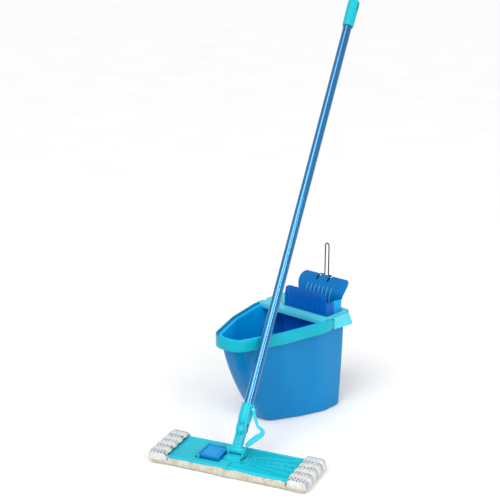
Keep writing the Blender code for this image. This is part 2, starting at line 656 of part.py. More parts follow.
# left wing: ears for the foot pedal and a rib behind it
PED_U0, PED_U1, PED_V, PED_Z = 0.0305, 0.0840, 0.0300, 0.0215
for sy, end in ((-1, "near"), (1, "far")):
    y0, y1 = sorted((sy * (PED_V + 0.0006), sy * (PED_V + 0.0042)))
    ear = box("pedal_ear_" + end, (ul(PED_U1 - 0.0078), y0, WING_Z0 + 0.002 - dzl),
              (ul(PED_U1 - 0.0012), y1, PED_Z - dzl), None, left_axis)
    top = cylinder("pedal_ear_top_" + end, 0.0035, (ul(PED_U1 - 0.0045), y0 - 0.0001, PED_Z - dzl),
                   (ul(PED_U1 - 0.0045), y1 + 0.0001, PED_Z - dzl), None, left_axis, seg=16)
    join(wing_left, ear, top)
cut(wing_left, cylinder("pedal_ear_bore", 0.00155, (ul(PED_U1 - 0.0045), -0.04, PED_Z - dzl),
                        (ul(PED_U1 - 0.0045), 0.04, PED_Z - dzl), None, left_axis, seg=16))
back_rib = box("left_rib", (ul(0.1386), -WING_W + 0.002, WING_Z0 + 0.002 - dzl),
               (ul(0.1360), WING_W - 0.002, WING_Z1 - 0.0004 - dzl), None, left_axis)
join(wing_left, back_rib)

pedal_axis = empty("pedal_axis", (ul(PED_U1 - 0.0045), 0, PED_Z - dzl), (0, 0, 0), left_axis)
PU = PED_U1 - 0.0045
pedal = box("foot_pedal", (PU - PED_U1, -PED_V, 0.0190 - PED_Z), (PU - PED_U0, PED_V, 0.0262 - PED_Z),
            material("pedal_blue", BLUE, 0.3), pedal_axis)
under = box("pedal_under", (PU - PED_U1 + 0.0085, -PED_V + 0.003, 0.0160 - PED_Z),
            (PU - PED_U0 - 0.003, PED_V - 0.003, 0.0238 - PED_Z), None, pedal_axis)
cut(pedal, under)
post = cylinder("pedal_post", 0.0012, (PU - 0.0420, 0, 0.0192 - PED_Z), (PU - 0.0420, 0, 0.0245 - PED_Z),
                None, pedal_axis, seg=12)
join(pedal, post)
cut(pedal, cylinder("pedal_bore", 0.00155, (0, -0.04, 0), (0, 0.04, 0), None, pedal_axis, seg=16))
bevel(pedal, 0.0009, 2, 50)
cylinder("pedal_pin", 0.0015, (0, -PED_V - 0.0042, 0), (0, PED_V + 0.0042, 0), steel, pedal_axis, seg=16)

spring = []
turns, per = 3.5, 10
for k in range(int(turns * per) + 1):
    a = 2 * math.pi * k / per
    f = k / (turns * per)
    spring.append((ul(0.0420) + 0.0030 * math.cos(a), 0.0030 * math.sin(a), 0.0178 - dzl + f * 0.0054))
wire("pedal_spring", spring, 0.0004, steel, left_axis)

# ---------------------------------------------------------------------- pads
pad_mat = material("pad_cream", (0.80, 0.77, 0.68), 0.9)


def pad(sx, tag, axis, u, dz):
    def block(name, x0, x1, half, z0, z1, mat=None):
        a, b = sorted((u(x0), u(x1)))
        return box(name, (a, -half, z0 - dz), (b, half, z1 - dz), mat, axis)

    body = bevel(block("pad_" + tag, U_HINGE + 0.0005, PAD_L, PAD_W, 0.0, PAD_H,
                       material("pad_" + tag + "_cream", (0.80, 0.77, 0.68), 0.9)), 0.0032, 2, 60)
    pocket = bevel(block("pocket_" + tag, POCKET_U, PAD_L - 0.0007, PAD_W - 0.0007, 0.0045, POCKET_Z),
                   0.0026, 2, 60)
    join(body, pocket)
    cut(body, block("pocket_hollow_" + tag, POCKET_U - 0.003, WING_L + 0.0006, WING_W + 0.0006,
                    PAD_H + 0.00015, WING_Z1 + 0.0006))
    return body


pad(-1, "left", left_axis, ul, dzl)
pad(1, "right", right_axis, ur, dzr)
bevel(box("pad_middle", (-U_HINGE - 0.0001, -PAD_W, 0), (U_HINGE + 0.0001, PAD_W, PAD_H), pad_mat, mop),
      0.0020, 1, 60)

# ------------------------------------------------------------------- handle
tilt = empty("tilt_axis", (0, 0, Z_TILT), (-LEAN, 0, 0), mop)
yoke = cylinder("yoke", 0.0078, (-0.0146, 0, 0), (0.0146, 0, 0), material("yoke_teal", TEAL, 0.35), tilt)
neck = box("yoke_neck", (-0.0112, -0.0048, 0), (0.0112, 0.0048, L_BOSS), None, tilt)
eye = cylinder("yoke_eye", 0.0115, (0, -0.0050, L_BOSS), (0, 0.0050, L_BOSS), None, tilt, seg=28)
join(yoke, neck, eye)
cut(yoke, cylinder("yoke_bore", 0.00256, (-0.03, 0, 0), (0.03, 0, 0), None, tilt, seg=20),
    cylinder("boss_bore", 0.00306, (0, -0.02, L_BOSS), (0, 0.02, L_BOSS), None, tilt, seg=20))

swing = empty("swing_axis", (0, 0, L_BOSS), (0, 0, 0), tilt)
S0, S1 = 0.0605 - L_BOSS, 0.1060 - L_BOSS      # the socket's bottom and top along the handle
socket = turned("socket", [(0.0, S1), (0.0138, S1), (0.0146, S1 - 0.0012), (0.0152, S1 - 0.020),
                           (0.0150, S0 + 0.010), (0.0128, S0), (0.0, S0)],
                material("socket_teal", TEAL, 0.35), swing)
for sy, tag in ((-1, "front"), (1, "rear")):
    y0, y1 = sorted((sy * 0.0054, sy * 0.0084))
    cheek = box("cheek_" + tag, (-0.0117, y0 + 0.0001, 0), (0.0117, y1 - 0.0001, S0 + 0.006), None, swing)
    disc = cylinder("cheek_disc_" + tag, 0.0120, (0, y0, 0), (0, y1, 0), None, swing, seg=28)
    join(socket, cheek, disc)
lug = box("lock_lug", (0.0120, -0.0102, 0.0890 - L_BOSS), (0.0232, -0.0030, 0.0975 - L_BOSS), None, swing)
join(socket, lug)
cut(socket, cylinder("tube_socket", 0.0113, (0, 0, 0.0712 - L_BOSS), (0, 0, 0.12 - L_BOSS), None, swing),
    cylinder("cheek_bore", 0.00306, (0, -0.02, 0), (0, 0.02, 0), None, swing, seg=20),
    cylinder("lock_bore", 0.00165, (0.0195, -0.02, 0.0935 - L_BOSS), (0.0195, -0.0050, 0.0935 - L_BOSS),
             None, swing, seg=16))

boss = cylinder("swing_pin", 0.0030, (0, -0.0100, 0), (0, 0.0085, 0), material("boss_teal", TEAL, 0.3),
                swing, seg=20)
join(boss, cylinder("boss_head", 0.0086, (0, -0.0118, 0), (0, -0.0087, 0), None, swing, seg=28))
cylinder("swing_cap", 0.0060, (0, 0.0088, 0), (0, 0.0106, 0), material("cap_teal", TEAL, 0.3), swing, seg=24)
cylinder("tube_screw", 0.0028, (0, 0.0153, 0), (0, 0.0170, 0), steel, swing, (0, 0, 0.0890 - L_BOSS), seg=12)

tube = turned("tube", [(TUBE_R, 1.130 - L_BOSS), (TUBE_R, 0.0715 - L_BOSS),
                       (TUBE_R - TUBE_T, 0.0715 - L_BOSS), (TUBE_R - TUBE_T, 1.130 - L_BOSS)],
              material("tube_blue", (0.03, 0.25, 0.55), 0.25, 0.9), swing, steps=24)
C0, C1 = 1.102 - L_BOSS, L_TOP - L_BOSS
cap = turned("end_cap", [(0.0, C1), (0.0070, C1), (0.0115, C1 - 0.0015), (0.0146, C1 - 0.0060),
                         (0.0150, C1 - 0.020), (0.0142, C0 + 0.006), (0.0134, C0), (0.0, C0)],
             material("cap_end_teal", TEAL, 0.35), swing)
hang_z = [C1 - HANG_TOP - HANG_R - HANG_RUN, C1 - HANG_TOP - HANG_R]
hole = box("hang_slot", (-0.03, -HANG_R + 0.00005, hang_z[0]), (0.03, HANG_R - 0.00005, hang_z[1]), None, swing)
ends = [cylinder(f"hang_end_{k}", HANG_R, (-0.031, 0, z), (0.031, 0, z), None, swing, seg=20)
        for k, z in enumerate(hang_z)]
cut(cap, cylinder("cap_bore", 0.0113, (0, 0, C0 - 0.01), (0, 0, 1.1305 - L_BOSS), None, swing), hole, *ends)

# locking arm hooked over the joint
lock = empty("lock_axis", (0.0195, 0, 0.0935 - L_BOSS), (0, 0, 0), swing)


def strip(points, widths):
    """Outline of a bar of changing width along a bent line."""
    left, right = [], []
    vs = [Vector(p) for p in points]
    for i, p in enumerate(vs):
        d = (vs[min(i + 1, len(vs) - 1)] - vs[max(i - 1, 0)]).normalized()
        n = Vector((-d.y, d.x)) * widths[i] / 2
        left.append(tuple(p + n))
        right.append(tuple(p - n))
    return left + right[::-1]


arm_pts = [(0.0, 0.0040), (0.0, 0.0), (0.0060, -0.0110), (0.0135, -0.0245), (0.0200, -0.0350),
           (0.0290, -0.0395), (0.0350, -0.0455), (0.0330, -0.0525), (0.0240, -0.0610),
           (0.0140, -0.0720), (0.0045, -0.0835)]
arm_widths = [0.0066, 0.0066, 0.0054, 0.0050, 0.0054, 0.0068, 0.0076, 0.0086, 0.0096, 0.0096, 0.0080]
arm = flat("lock_arm", strip(arm_pts, arm_widths), 0.0036, (), material("arm_teal", TEAL, 0.35), lock,
           (0, -0.0123, 0), (math.radians(90), 0, 0), smooth=30)
cut(arm, cylinder("arm_bore", 0.00165, (0, -0.02, 0), (0, 0.0, 0), None, lock, seg=16))
cylinder("lock_pin", 0.0016, (0, -0.0146, 0), (0, -0.0052, 0), steel, lock, seg=16)
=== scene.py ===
import json
import math
import bpy
import bmesh
from mathutils import Matrix, Vector, noise


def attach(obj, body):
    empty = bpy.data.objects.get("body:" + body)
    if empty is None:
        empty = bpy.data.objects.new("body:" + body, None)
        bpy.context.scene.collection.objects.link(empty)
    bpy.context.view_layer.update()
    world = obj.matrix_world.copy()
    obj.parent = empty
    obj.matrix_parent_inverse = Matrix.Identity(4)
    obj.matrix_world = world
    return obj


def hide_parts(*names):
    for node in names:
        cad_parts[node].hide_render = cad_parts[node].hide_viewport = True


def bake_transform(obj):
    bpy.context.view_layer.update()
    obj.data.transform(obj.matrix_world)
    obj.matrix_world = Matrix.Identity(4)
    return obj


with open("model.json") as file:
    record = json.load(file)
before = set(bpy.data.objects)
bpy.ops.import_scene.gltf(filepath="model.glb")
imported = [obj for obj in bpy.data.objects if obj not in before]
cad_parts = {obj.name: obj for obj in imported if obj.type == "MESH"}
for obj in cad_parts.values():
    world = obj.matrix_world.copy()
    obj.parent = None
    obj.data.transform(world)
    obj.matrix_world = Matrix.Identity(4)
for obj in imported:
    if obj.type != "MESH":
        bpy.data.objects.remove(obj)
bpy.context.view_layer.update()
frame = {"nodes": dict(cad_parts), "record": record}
BODY = {n: b for b, ns in frame["record"]["behaviour"]["bodies"].items() for n in ns}

# ------------------------------------------------------------ shared sizes
# Half outlines of the bucket: (distance from the nose, half width) and the radius of each corner.
NOSE_X, RIM_Z = -0.230, 0.247
RIM = [(0.0, 0.036), (0.120, 0.083), (0.235, 0.1085), (0.352, 0.108)]
RIM_R = [0.042, 0.120, 0.150, 0.022]
BASE = [(0.130, 0.026), (0.205, 0.068), (0.270, 0.0935), (0.336, 0.094)]
BASE_R = [0.030, 0.080, 0.090, 0.020]
ARC_STEPS, EDGE_STEPS = 14, 6
# Bucket wall: insets of its face and its flange from the rim's outline, and how it swells upwards.
WALL_IN, WALL, FLANGE_IN, SWELL = 0.0125, 0.0025, 0.0035, 1.55
# Carrying handle and its pivot.
BAND_THICK, BAND_HIGH = 0.0026, 0.029
PIVOT_X, PIVOT_Z = NOSE_X + 0.262, 0.2325
# Collar: its skirt's front end, its cross-bar's front, its skirt's flare and the length of that flare.
COLLAR_X = NOSE_X + 0.2785
BAR_X = NOSE_X + 0.245
SKIRT_OUT, SKIRT_RUN = 0.0095, 0.062
# Wringer: its box in plan, the seam between its halves, its wall and its heights.
WX0, WX1, WY0, WY1, W_SPLIT = 0.0445, 0.1035, -0.0885, 0.0480, 0.0710
W_WALL, W_BOTTOM, W_FRONT_TOP, W_END_TOP = 0.0024, 0.135, 0.3005, 0.2795
W_LEVELS = [W_BOTTOM, 0.165, 0.200, 0.230, 0.246]
W_CORNER, W_FLUTES, W_RIBS, W_RIB_PITCH = 0.0060, 9, 7, 0.0122
FLARE_R, FLARE_A, FLARE_Z0 = 0.0545, math.radians(65), 0.2640
BACK_Y0, BACK_Y1 = WY0 - 0.0030, WY1 + 0.0065
WIRE_Y, WIRE_FOOT = -0.0150, 0.0165
# Mop: its place, the handle's lean and the handle's frame, with its origin on the cross-bar.
MOP = Matrix.Translation((-0.3237, -0.1228, 0)) @ Matrix.Rotation(math.radians(-72.54), 4, "Z")
LEAN = math.radians(38.25)
HANDLE = MOP @ Matrix.Translation((0, 0, 0.040)) @ Matrix.Rotation(-LEAN, 4, "X")
# Sizes along (U, L), across (W) and above the mop: wing hinges, pad and its pockets, wing plates.
HINGE_U, HINGE_Z = 0.022, 0.0185
PAD_L, PAD_W, PAD_H, POCKET_U, POCKET_Z = 0.190, 0.062, 0.0135, 0.143, 0.0285
# Half the distance between the pocket's rows of stitches, and where the rows begin.
STITCH_ROW, STITCH_EDGE = 0.0140, 0.0690
WING_L, WING_W, WING_Z0, WING_Z1 = 0.1715, 0.055, 0.0140, 0.0235
# Handle's tube, and the height of the joint's boss above the cross-bar.
TUBE_R, TUBE_WALL, TUBE_START, TUBE_END = 0.011, 0.0009, 0.0715, 1.130
BOSS_Z = 0.047


# --------------------------------------------------------------- materials
class Nodes:
    """Short names for building a node tree."""

    def __init__(self, name):
        self.mat = bpy.data.materials.new(name)
        self.mat.use_nodes = True
        self.tree = self.mat.node_tree
        self.bsdf = self.tree.nodes["Principled BSDF"]

    def node(self, kind, **settings):
        n = self.tree.nodes.new(kind)
        for key, value in settings.items():
            setattr(n, key, value)
        return n

    def link(self, a, b):
        self.tree.links.new(a, b)

    def put(self, socket, value):
        if isinstance(value, (int, float, tuple, list)):
            socket.default_value = value
        else:
            self.link(value, socket)

    def math(self, op, a, b=0.0, c=0.0):
        n = self.node("ShaderNodeMath", operation=op)
        for socket, value in zip(n.inputs, (a, b, c)):
            self.put(socket, value)
        return n.outputs[0]

    def noise(self, scale, detail=3.0, rough=0.5, vector=None, stretch=None):
        tex = self.node("ShaderNodeTexNoise")
        tex.inputs["Scale"].default_value = scale
        tex.inputs["Detail"].default_value = detail
        tex.inputs["Roughness"].default_value = rough
        if vector is None:
            vector = self.node("ShaderNodeTexCoord").outputs["Object"]
        if stretch:
            m = self.node("ShaderNodeMapping")
            m.inputs["Scale"].default_value = stretch
            self.link(vector, m.inputs["Vector"])
            vector = m.outputs["Vector"]
        self.link(vector, tex.inputs["Vector"])
        return tex.outputs["Fac"]

    def ramp(self, fac, stops):
        n = self.node("ShaderNodeValToRGB")
        while len(n.color_ramp.elements) < len(stops):
            n.color_ramp.elements.new(0.5)
        for e, (pos, col) in zip(n.color_ramp.elements, stops):
            e.position = pos
            e.color = (*col, 1)
        self.link(fac, n.inputs["Fac"])
        return n.outputs["Color"]

    def mix(self, fac, a, b):
        n = self.node("ShaderNodeMix", data_type="RGBA")
        self.put(n.inputs["Factor"], fac)
        self.put(n.inputs[6], a if not isinstance(a, tuple) else (*a, 1))
        self.put(n.inputs[7], b if not isinstance(b, tuple) else (*b, 1))
        return n.outputs[2]

    def bump(self, height, strength, distance, normal=None):
        n = self.node("ShaderNodeBump")
        n.inputs["Strength"].default_value = strength
        n.inputs["Distance"].default_value = distance
        self.link(height, n.inputs["Height"])
        if normal is not None:
            self.link(normal, n.inputs["Normal"])
        return n.outputs["Normal"]


def shade(color, k):
    return tuple(min(1.0, c * k) for c in color)


def moulded(name, color, rough=0.28, coat=0.25, lift=1.10):
    """Injection-moulded plastic: faint flow marks, fine grain and handling marks."""
    m = Nodes(name)
    flow = m.noise(9.0, 2.0, 0.5, stretch=(1, 1, 0.35))
    col = m.ramp(flow, [(0.30, shade(color, 0.92)), (0.70, shade(color, lift))])
    m.link(col, m.bsdf.inputs["Base Color"])
    scuff = m.noise(60.0, 5.0, 0.65)
    m.link(m.math("MULTIPLY_ADD", scuff, 0.16, rough - 0.08), m.bsdf.inputs["Roughness"])
    m.bsdf.inputs["Coat Weight"].default_value = coat * 0.35
    m.bsdf.inputs["Coat Roughness"].default_value = 0.12
    m.bsdf.inputs["IOR"].default_value = 1.45
    m.bsdf.inputs["Specular IOR Level"].default_value = 0.16
    fine = m.bump(m.noise(1600.0, 2.0), 0.105, 0.00012)
    wave = m.bump(m.noise(22.0, 1.0), 0.10, 0.0010, fine)
    m.link(wave, m.bsdf.inputs["Normal"])
    return m.mat


def steel(name):
    """Drawn steel with fine streaks along its length."""
    color, rough = (0.62, 0.63, 0.65), 0.28
    m = Nodes(name)
    streak = m.noise(900.0, 3.0, 0.6, stretch=(1, 1, 0.05))
    m.link(m.ramp(streak, [(0.3, shade(color, 0.85)), (0.7, color)]), m.bsdf.inputs["Base Color"])
    m.link(m.math("MULTIPLY_ADD", streak, 0.2, rough - 0.1), m.bsdf.inputs["Roughness"])
    m.bsdf.inputs["Metallic"].default_value = 1.0
    m.link(m.bump(streak, 0.08, 0.0001), m.bsdf.inputs["Normal"])
    return m.mat


def coated_tube(name):
    """Metallic blue lacquer over a rolled tube, with fine flakes and faint patches of tone."""
    m = Nodes(name)
    flake = m.noise(2600.0, 2.0, 0.6)
    tone = m.noise(6.0, 2.0, 0.5)
    base = m.ramp(tone, [(0.3, (0.008, 0.130, 0.340)), (0.7, (0.012, 0.165, 0.400))])
    m.link(m.mix(m.math("MULTIPLY", flake, 0.20), base, (0.06, 0.36, 0.66)), m.bsdf.inputs["Base Color"])
    m.bsdf.inputs["Metallic"].default_value = 0.75
    m.link(m.math("MULTIPLY_ADD", flake, 0.05, 0.14), m.bsdf.inputs["Roughness"])
    m.bsdf.inputs["Coat Weight"].default_value = 0.7
    m.bsdf.inputs["Coat Roughness"].default_value = 0.04
    return m.mat


def terry(name):
    """Looped cotton: cream pile, whiter woven pockets with rows of blue zig-zag stitches, and painted shade
    in the gaps between the loops.
    """
    m = Nodes(name)
    rest = m.node("ShaderNodeAttribute", attribute_name="rest").outputs["Vector"]
    sep = m.node("ShaderNodeSeparateXYZ")
    m.link(rest, sep.inputs[0])
    u, v, z = sep.outputs
    loops = m.node("ShaderNodeTexVoronoi", feature="F1")
    loops.inputs["Scale"].default_value = 420.0
    m.link(rest, loops.inputs["Vector"])
    lumps = m.noise(90.0, 3.0, 0.6, vector=rest)
    pile = m.ramp(lumps, [(0.25, (0.36, 0.34, 0.27)), (0.50, (0.52, 0.50, 0.42)), (0.75, (0.66, 0.64, 0.56))])
    white = m.ramp(lumps, [(0.25, (0.50, 0.51, 0.50)), (0.70, (0.74, 0.75, 0.74))])
    # pocket mask: beyond the pocket's edge and above the pad
    far = m.math("GREATER_THAN", m.math("ABSOLUTE", u), POCKET_U - 0.002)
    high = m.math("GREATER_THAN", z, m.math("MULTIPLY_ADD", lumps, 0.004, 0.0105))
    pocket = m.math("MULTIPLY", far, high)
    # rows of stitches along the pocket, in pairs of slanted dashes
    row = m.math("PINGPONG", m.math("ADD", v, STITCH_EDGE), STITCH_ROW)
    w = m.math("DIVIDE", m.math("SUBTRACT", STITCH_ROW, row), 0.0066)
    inside = m.math("LESS_THAN", w, 1.0)
    off = m.math("GREATER_THAN", m.math("ABSOLUTE", m.math("SUBTRACT", w, 0.42)), 0.10)
    along = m.math("SUBTRACT", m.math("ABSOLUTE", u), m.math("MULTIPLY", z, 1.2))
    zigzag = m.math("PINGPONG", m.math("MULTIPLY", w, 1.2), 0.6)
    slant = m.math("ADD", m.math("DIVIDE", along, 0.0078), zigzag)
    wobble = m.math("MULTIPLY_ADD", m.noise(240.0, 2.0, 0.5, vector=rest), 0.5, -0.25)
    dash = m.math("LESS_THAN", m.math("FRACT", m.math("ADD", slant, wobble)), 0.55)
    keep = m.math("GREATER_THAN", m.noise(160.0, 1.0, 0.5, vector=rest), 0.36)
    stitch = m.math("MULTIPLY", m.math("MULTIPLY", inside, off), m.math("MULTIPLY", dash, keep))
    blues = [(0.40, (0.003, 0.035, 0.170)), (0.52, (0.008, 0.110, 0.330)), (0.64, (0.005, 0.220, 0.300))]
    thread = m.ramp(m.noise(110.0, 1.0, 0.5, vector=rest), blues)
    woven = m.mix(stitch, white, thread)
    col = m.mix(pocket, pile, woven)
    # painted shade: the pile is mixed towards a darker colour in the gaps between its loops, where shade
    # falls
    painted_shade_in_loop_gaps = m.math("MULTIPLY", loops.outputs["Distance"], 1.1)
    col = m.mix(m.math("MULTIPLY", painted_shade_in_loop_gaps, 0.35), col, (0.45, 0.42, 0.34))
    m.link(col, m.bsdf.inputs["Base Color"])
    m.bsdf.inputs["Roughness"].default_value = 0.95
    m.bsdf.inputs["Sheen Weight"].default_value = 0.35
    m.bsdf.inputs["Sheen Roughness"].default_value = 0.5
    m.bsdf.inputs["Specular IOR Level"].default_value = 0.15
    n1 = m.bump(m.math("SUBTRACT", 1.0, loops.outputs["Distance"]), 0.7, 0.0012)
    m.link(m.bump(lumps, 0.5, 0.0015, n1), m.bsdf.inputs["Normal"])
    return m.mat


BLUE, DEEP = (0.0002, 0.190, 0.450), (0.0003, 0.100, 0.420)
# teal plastic in two copies: the band's teal, and a lighter lit copy of it, painted light
TEAL, TEAL_PAINTED_LIT = (0.001, 0.360, 0.460), (0.080, 0.530, 0.650)
MAT = {
    "body": moulded("bucket_plastic", BLUE, 0.30, 0.20),
    # inside and lip of the bucket: the body's plastic painted a lighter blue, painted light
    "inside": moulded("bucket_inside_painted_light_plastic", (0.001, 0.420, 0.880), 0.30, 0.10),
    "band": moulded("band_plastic", TEAL, 0.30, 0.25),
    # the collar takes the lighter copy of the band's teal: painted light
    "collar": moulded("collar_painted_lit_plastic", TEAL_PAINTED_LIT, 0.32, 0.20),
    "press": moulded("wringer_plastic", DEEP, 0.30, 0.10),
    "press_back": moulded("wringer_back_plastic", (0.0005, 0.150, 0.430), 0.26, 0.20),
    "press_end": moulded("wringer_end_plastic", (0.0005, 0.300, 0.640), 0.26, 0.20),
    "press_rib": moulded("wringer_rib_plastic", (0.050, 0.340, 0.700), 0.30, 0.10),
    "mop": moulded("mop_plastic", (0.010, 0.450, 0.560), 0.28, 0.25),
    "cap": moulded("end_cap_plastic", (0.010, 0.400, 0.480), 0.42, 0.05),
    "pedal": moulded("pedal_plastic", (0.001, 0.190, 0.520), 0.26, 0.20),
    "tread": moulded("tread_plastic", (0.004, 0.300, 0.640), 0.30, 0.10),
    "steel": steel("pin_steel"),
    "tube": coated_tube("tube_lacquer"),
    "wire": moulded("wire_coating", (0.002, 0.002, 0.003), 0.55, 0.0, lift=1.5),
    "terry": terry("terry_cotton"),
}


# ----------------------------------------------------------- mesh building
def smooth_step(x, a, b):
    """0 below a, 1 above b, and an even rise between them."""
    t = min(1.0, max(0.0, (x - a) / (b - a)))
    return t * t * (3 - 2 * t)


def new_object(name, bm, mat=None, matrix=None, smooth=35):
    bmesh.ops.recalc_face_normals(bm, faces=bm.faces)
    mesh = bpy.data.meshes.new(name)
    bm.to_mesh(mesh)
    bm.free()
    if smooth:
        mesh.shade_smooth()
        mesh.set_sharp_from_angle(angle=math.radians(smooth))
    obj = bpy.data.objects.new(name, mesh)
    bpy.context.scene.collection.objects.link(obj)
    if mat:
        mesh.materials.append(mat)
    if matrix is not None:
        obj.matrix_world = matrix
    return obj


def place(obj, body, slot, *nodes):
    """Gives a piece its body and hides the CAD nodes that it stands for; the slot argument is not used."""
    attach(obj, body)
    if nodes:
        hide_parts(*nodes)
    return obj


def loft_mesh(rings, wrap=False):
    """Rings joined in order, closed by end caps or, with wrap, back to the first ring."""
    bm = bmesh.new()
    rows = [[bm.verts.new(p) for p in ring] for ring in rings]
    n = len(rows[0])
    for low, high in list(zip(rows, rows[1:])) + ([(rows[-1], rows[0])] if wrap else []):
        for i in range(n):
            j = (i + 1) % n
            bm.faces.new((low[i], low[j], high[j], high[i]))
    if not wrap:
        bm.faces.new(list(reversed(rows[0])))
        bm.faces.new(rows[-1])
    return bm


def box_mesh(lo, hi, edge=0.0, segments=2):
    bm = bmesh.new()
    size = [hi[i] - lo[i] for i in range(3)]
    mid = [(hi[i] + lo[i]) / 2 for i in range(3)]
    bmesh.ops.create_cube(bm, size=1.0, matrix=Matrix.Translation(mid) @ Matrix.Diagonal((*size, 1)))
    if edge:
        bmesh.ops.bevel(bm, geom=list(bm.edges), offset=edge, segments=segments, profile=0.5,
                        affect="EDGES", clamp_overlap=True)
    return bm


def rod_mesh(radius, start, end, seg=32, edge=0.0):
    a, b = Vector(start), Vector(end)
    turn = Vector((0, 0, 1)).rotation_difference(b - a).to_matrix().to_4x4()
    bm = bmesh.new()
    bmesh.ops.create_cone(bm, cap_ends=True, segments=seg, radius1=radius, radius2=radius,
                          depth=(b - a).length, matrix=Matrix.Translation((a + b) / 2) @ turn)
    if edge:
        rims = [e for e in bm.edges if any(len(f.verts) > 4 for f in e.link_faces)]
        bmesh.ops.bevel(bm, geom=rims, offset=edge, segments=2, profile=0.5, affect="EDGES")
    return bm


def evaluated(obj):
    """The object's mesh with its modifiers applied; the modifiers are then dropped."""
    bpy.context.view_layer.update()
    mesh = bpy.data.meshes.new_from_object(obj.evaluated_get(bpy.context.evaluated_depsgraph_get()))
    obj.modifiers.clear()
    obj.data = mesh
    return obj


def refined(node, mat, edge=0.0004, segments=2, smooth=32, angle=30):
    """A CAD node's own shape with welded faces and rounded edges."""
    bm = bmesh.new()
    bm.from_mesh(frame["nodes"][node].data)
    bmesh.ops.remove_doubles(bm, verts=bm.verts, dist=0.00001)
    bmesh.ops.dissolve_limit(bm, angle_limit=math.radians(1.0), verts=bm.verts, edges=bm.edges)
    sharp = [e for e in bm.edges if len(e.link_faces) == 2 and e.calc_face_angle(0) > math.radians(angle)]
    if edge:
        bmesh.ops.bevel(bm, geom=sharp, offset=edge, segments=segments, profile=0.5,
                        affect="EDGES", clamp_overlap=True)
    record_slot = next(s["material_slot"] for s in frame["record"]["subparts"] if s["node"] == node)
    obj = new_object(node + "_finished", bm, mat, smooth=smooth)
    return place(obj, BODY[node], record_slot, node)


# ------------------------------------------------------- outlines in plan
def offset_polygon(points, dist):
    """The polygon with every side moved inwards by dist."""
    out = []
    n = len(points)
    for i in range(n):
        p, q, r = Vector(points[i - 1]), Vector(points[i]), Vector(points[(i + 1) % n])
        d0, d1 = (q - p).normalized(), (r - q).normalized()
        bis = Vector((-d0.y, d0.x)) + Vector((-d1.y, d1.x))
        out.append(tuple(q + bis * (2 * dist / bis.length_squared)))
    return out


def rounded(points, radii, arc, edge):
    """The polygon with an arc at each corner, and points spread along its straight sides."""
    ends = []
    n = len(points)
    for i in range(n):
        p, q, r = Vector(points[i - 1]), Vector(points[i]), Vector(points[(i + 1) % n])
        d0, d1 = (p - q).normalized(), (r - q).normalized()
        half = d0.angle(d1) / 2
        rad = min(radii[i], 0.48 * math.tan(half) * min((p - q).length, (r - q).length))
        centre = q + (d0 + d1).normalized() * (rad / math.sin(half))
        a, b = q + d0 * (rad / math.tan(half)), q + d1 * (rad / math.tan(half))
        va, vb = a - centre, b - centre
        sweep = va.angle_signed(vb)
        fan = []
        for k in range(arc + 1):
            c, s = math.cos(-sweep * k / arc), math.sin(-sweep * k / arc)
            fan.append(centre + Vector((va.x * c - va.y * s, va.x * s + va.y * c)))
        ends.append(fan)
    out = []
    for i in range(n):
        out.extend(ends[i])
        a, b = ends[i][-1], ends[(i + 1) % n][0]
        out.extend(a.lerp(b, k / (edge + 1)) for k in range(1, edge + 1))
    return [(p.x, p.y) for p in out]


def plan(half, radii, inset=0.0):
    """A whole outline from its half, moved inwards by inset."""
    poly = [(NOSE_X + s, -t) for s, t in half] + [(NOSE_X + s, t) for s, t in reversed(half)]
    rads = list(radii) + list(reversed(radii))
    if inset:
        poly = offset_polygon(poly, inset)
        rads = [max(r - inset, 0.002) for r in rads]
    return rounded(poly, rads, ARC_STEPS, EDGE_STEPS)


def body_section(z, inset):
    """The bucket's outline at height z."""
    m = max(0.0, 1.0 - z / RIM_Z) ** SWELL
    half = [(a[0] * (1 - m) + b[0] * m, a[1] * (1 - m) + b[1] * m) for a, b in zip(RIM, BASE)]
    rad = [a * (1 - m) + b * m for a, b in zip(RIM_R, BASE_R)]
    return [(x, y, z) for x, y in plan(half, rad, inset * (1 - m) + (inset - WALL_IN) * m)]


def half_at(path, x):
    """An outline's half width at x."""
    best = 0.0
    for p, q in zip(path, path[1:] + path[:1]):
        if (p[0] - x) * (q[0] - x) <= 0 and abs(p[0] - q[0]) > 1e-9:
            best = max(best, abs(p[1] + (q[1] - p[1]) * (x - p[0]) / (q[0] - p[0])))
    return best


def with_normals(path):
    """Each point of a closed outline with its outward direction."""
    out = []
    for i, p in enumerate(path):
        t = (Vector(path[(i + 1) % len(path)]) - Vector(path[i - 1])).normalized()
        out.append((Vector(p), Vector((t.y, -t.x))))
    return out


# ------------------------------------------------------------------ bucket
def bucket_levels():
    """(height, inset) of each ring: those of the outside and rim, then those of the inside."""
    inside = WALL_IN + WALL
    foot = [(0.0, 0.0070), (0.0002, 0.0050), (0.0010, 0.0026), (0.0024, 0.0010), (0.0045, 0.0001)]
    outer = [(z, WALL_IN + d) for z, d in foot]
    outer += [(0.008 + 0.2245 * k / 26, WALL_IN) for k in range(27)]
    outer += [(0.2352, WALL_IN - 0.0006), (0.2370, WALL_IN - 0.0030)]
    flange = [(0.2378, 0.0030), (0.2382, 0.0008), (0.2388, 0.0), (0.2426, 0.0), (0.2434, 0.0008),
              (0.2435, 0.0030)]
    outer += [(z, FLANGE_IN + d) for z, d in flange]
    lip = [(0.2420, 0.0042), (0.2420, 0.0056), (0.2432, 0.0066), (0.2440, 0.0080), (0.2440, 0.0098)]
    inner = [(z, FLANGE_IN + d) for z, d in lip] + [(0.2428, WALL_IN + 0.0020), (0.2405, inside)]
    inner += [(0.2350 - 0.2260 * k / 24, inside) for k in range(25)]
    inner += [(0.0062, inside + 0.0008), (0.0046, inside + 0.0028), (0.0040, WALL_IN + 0.008)]
    return outer, inner


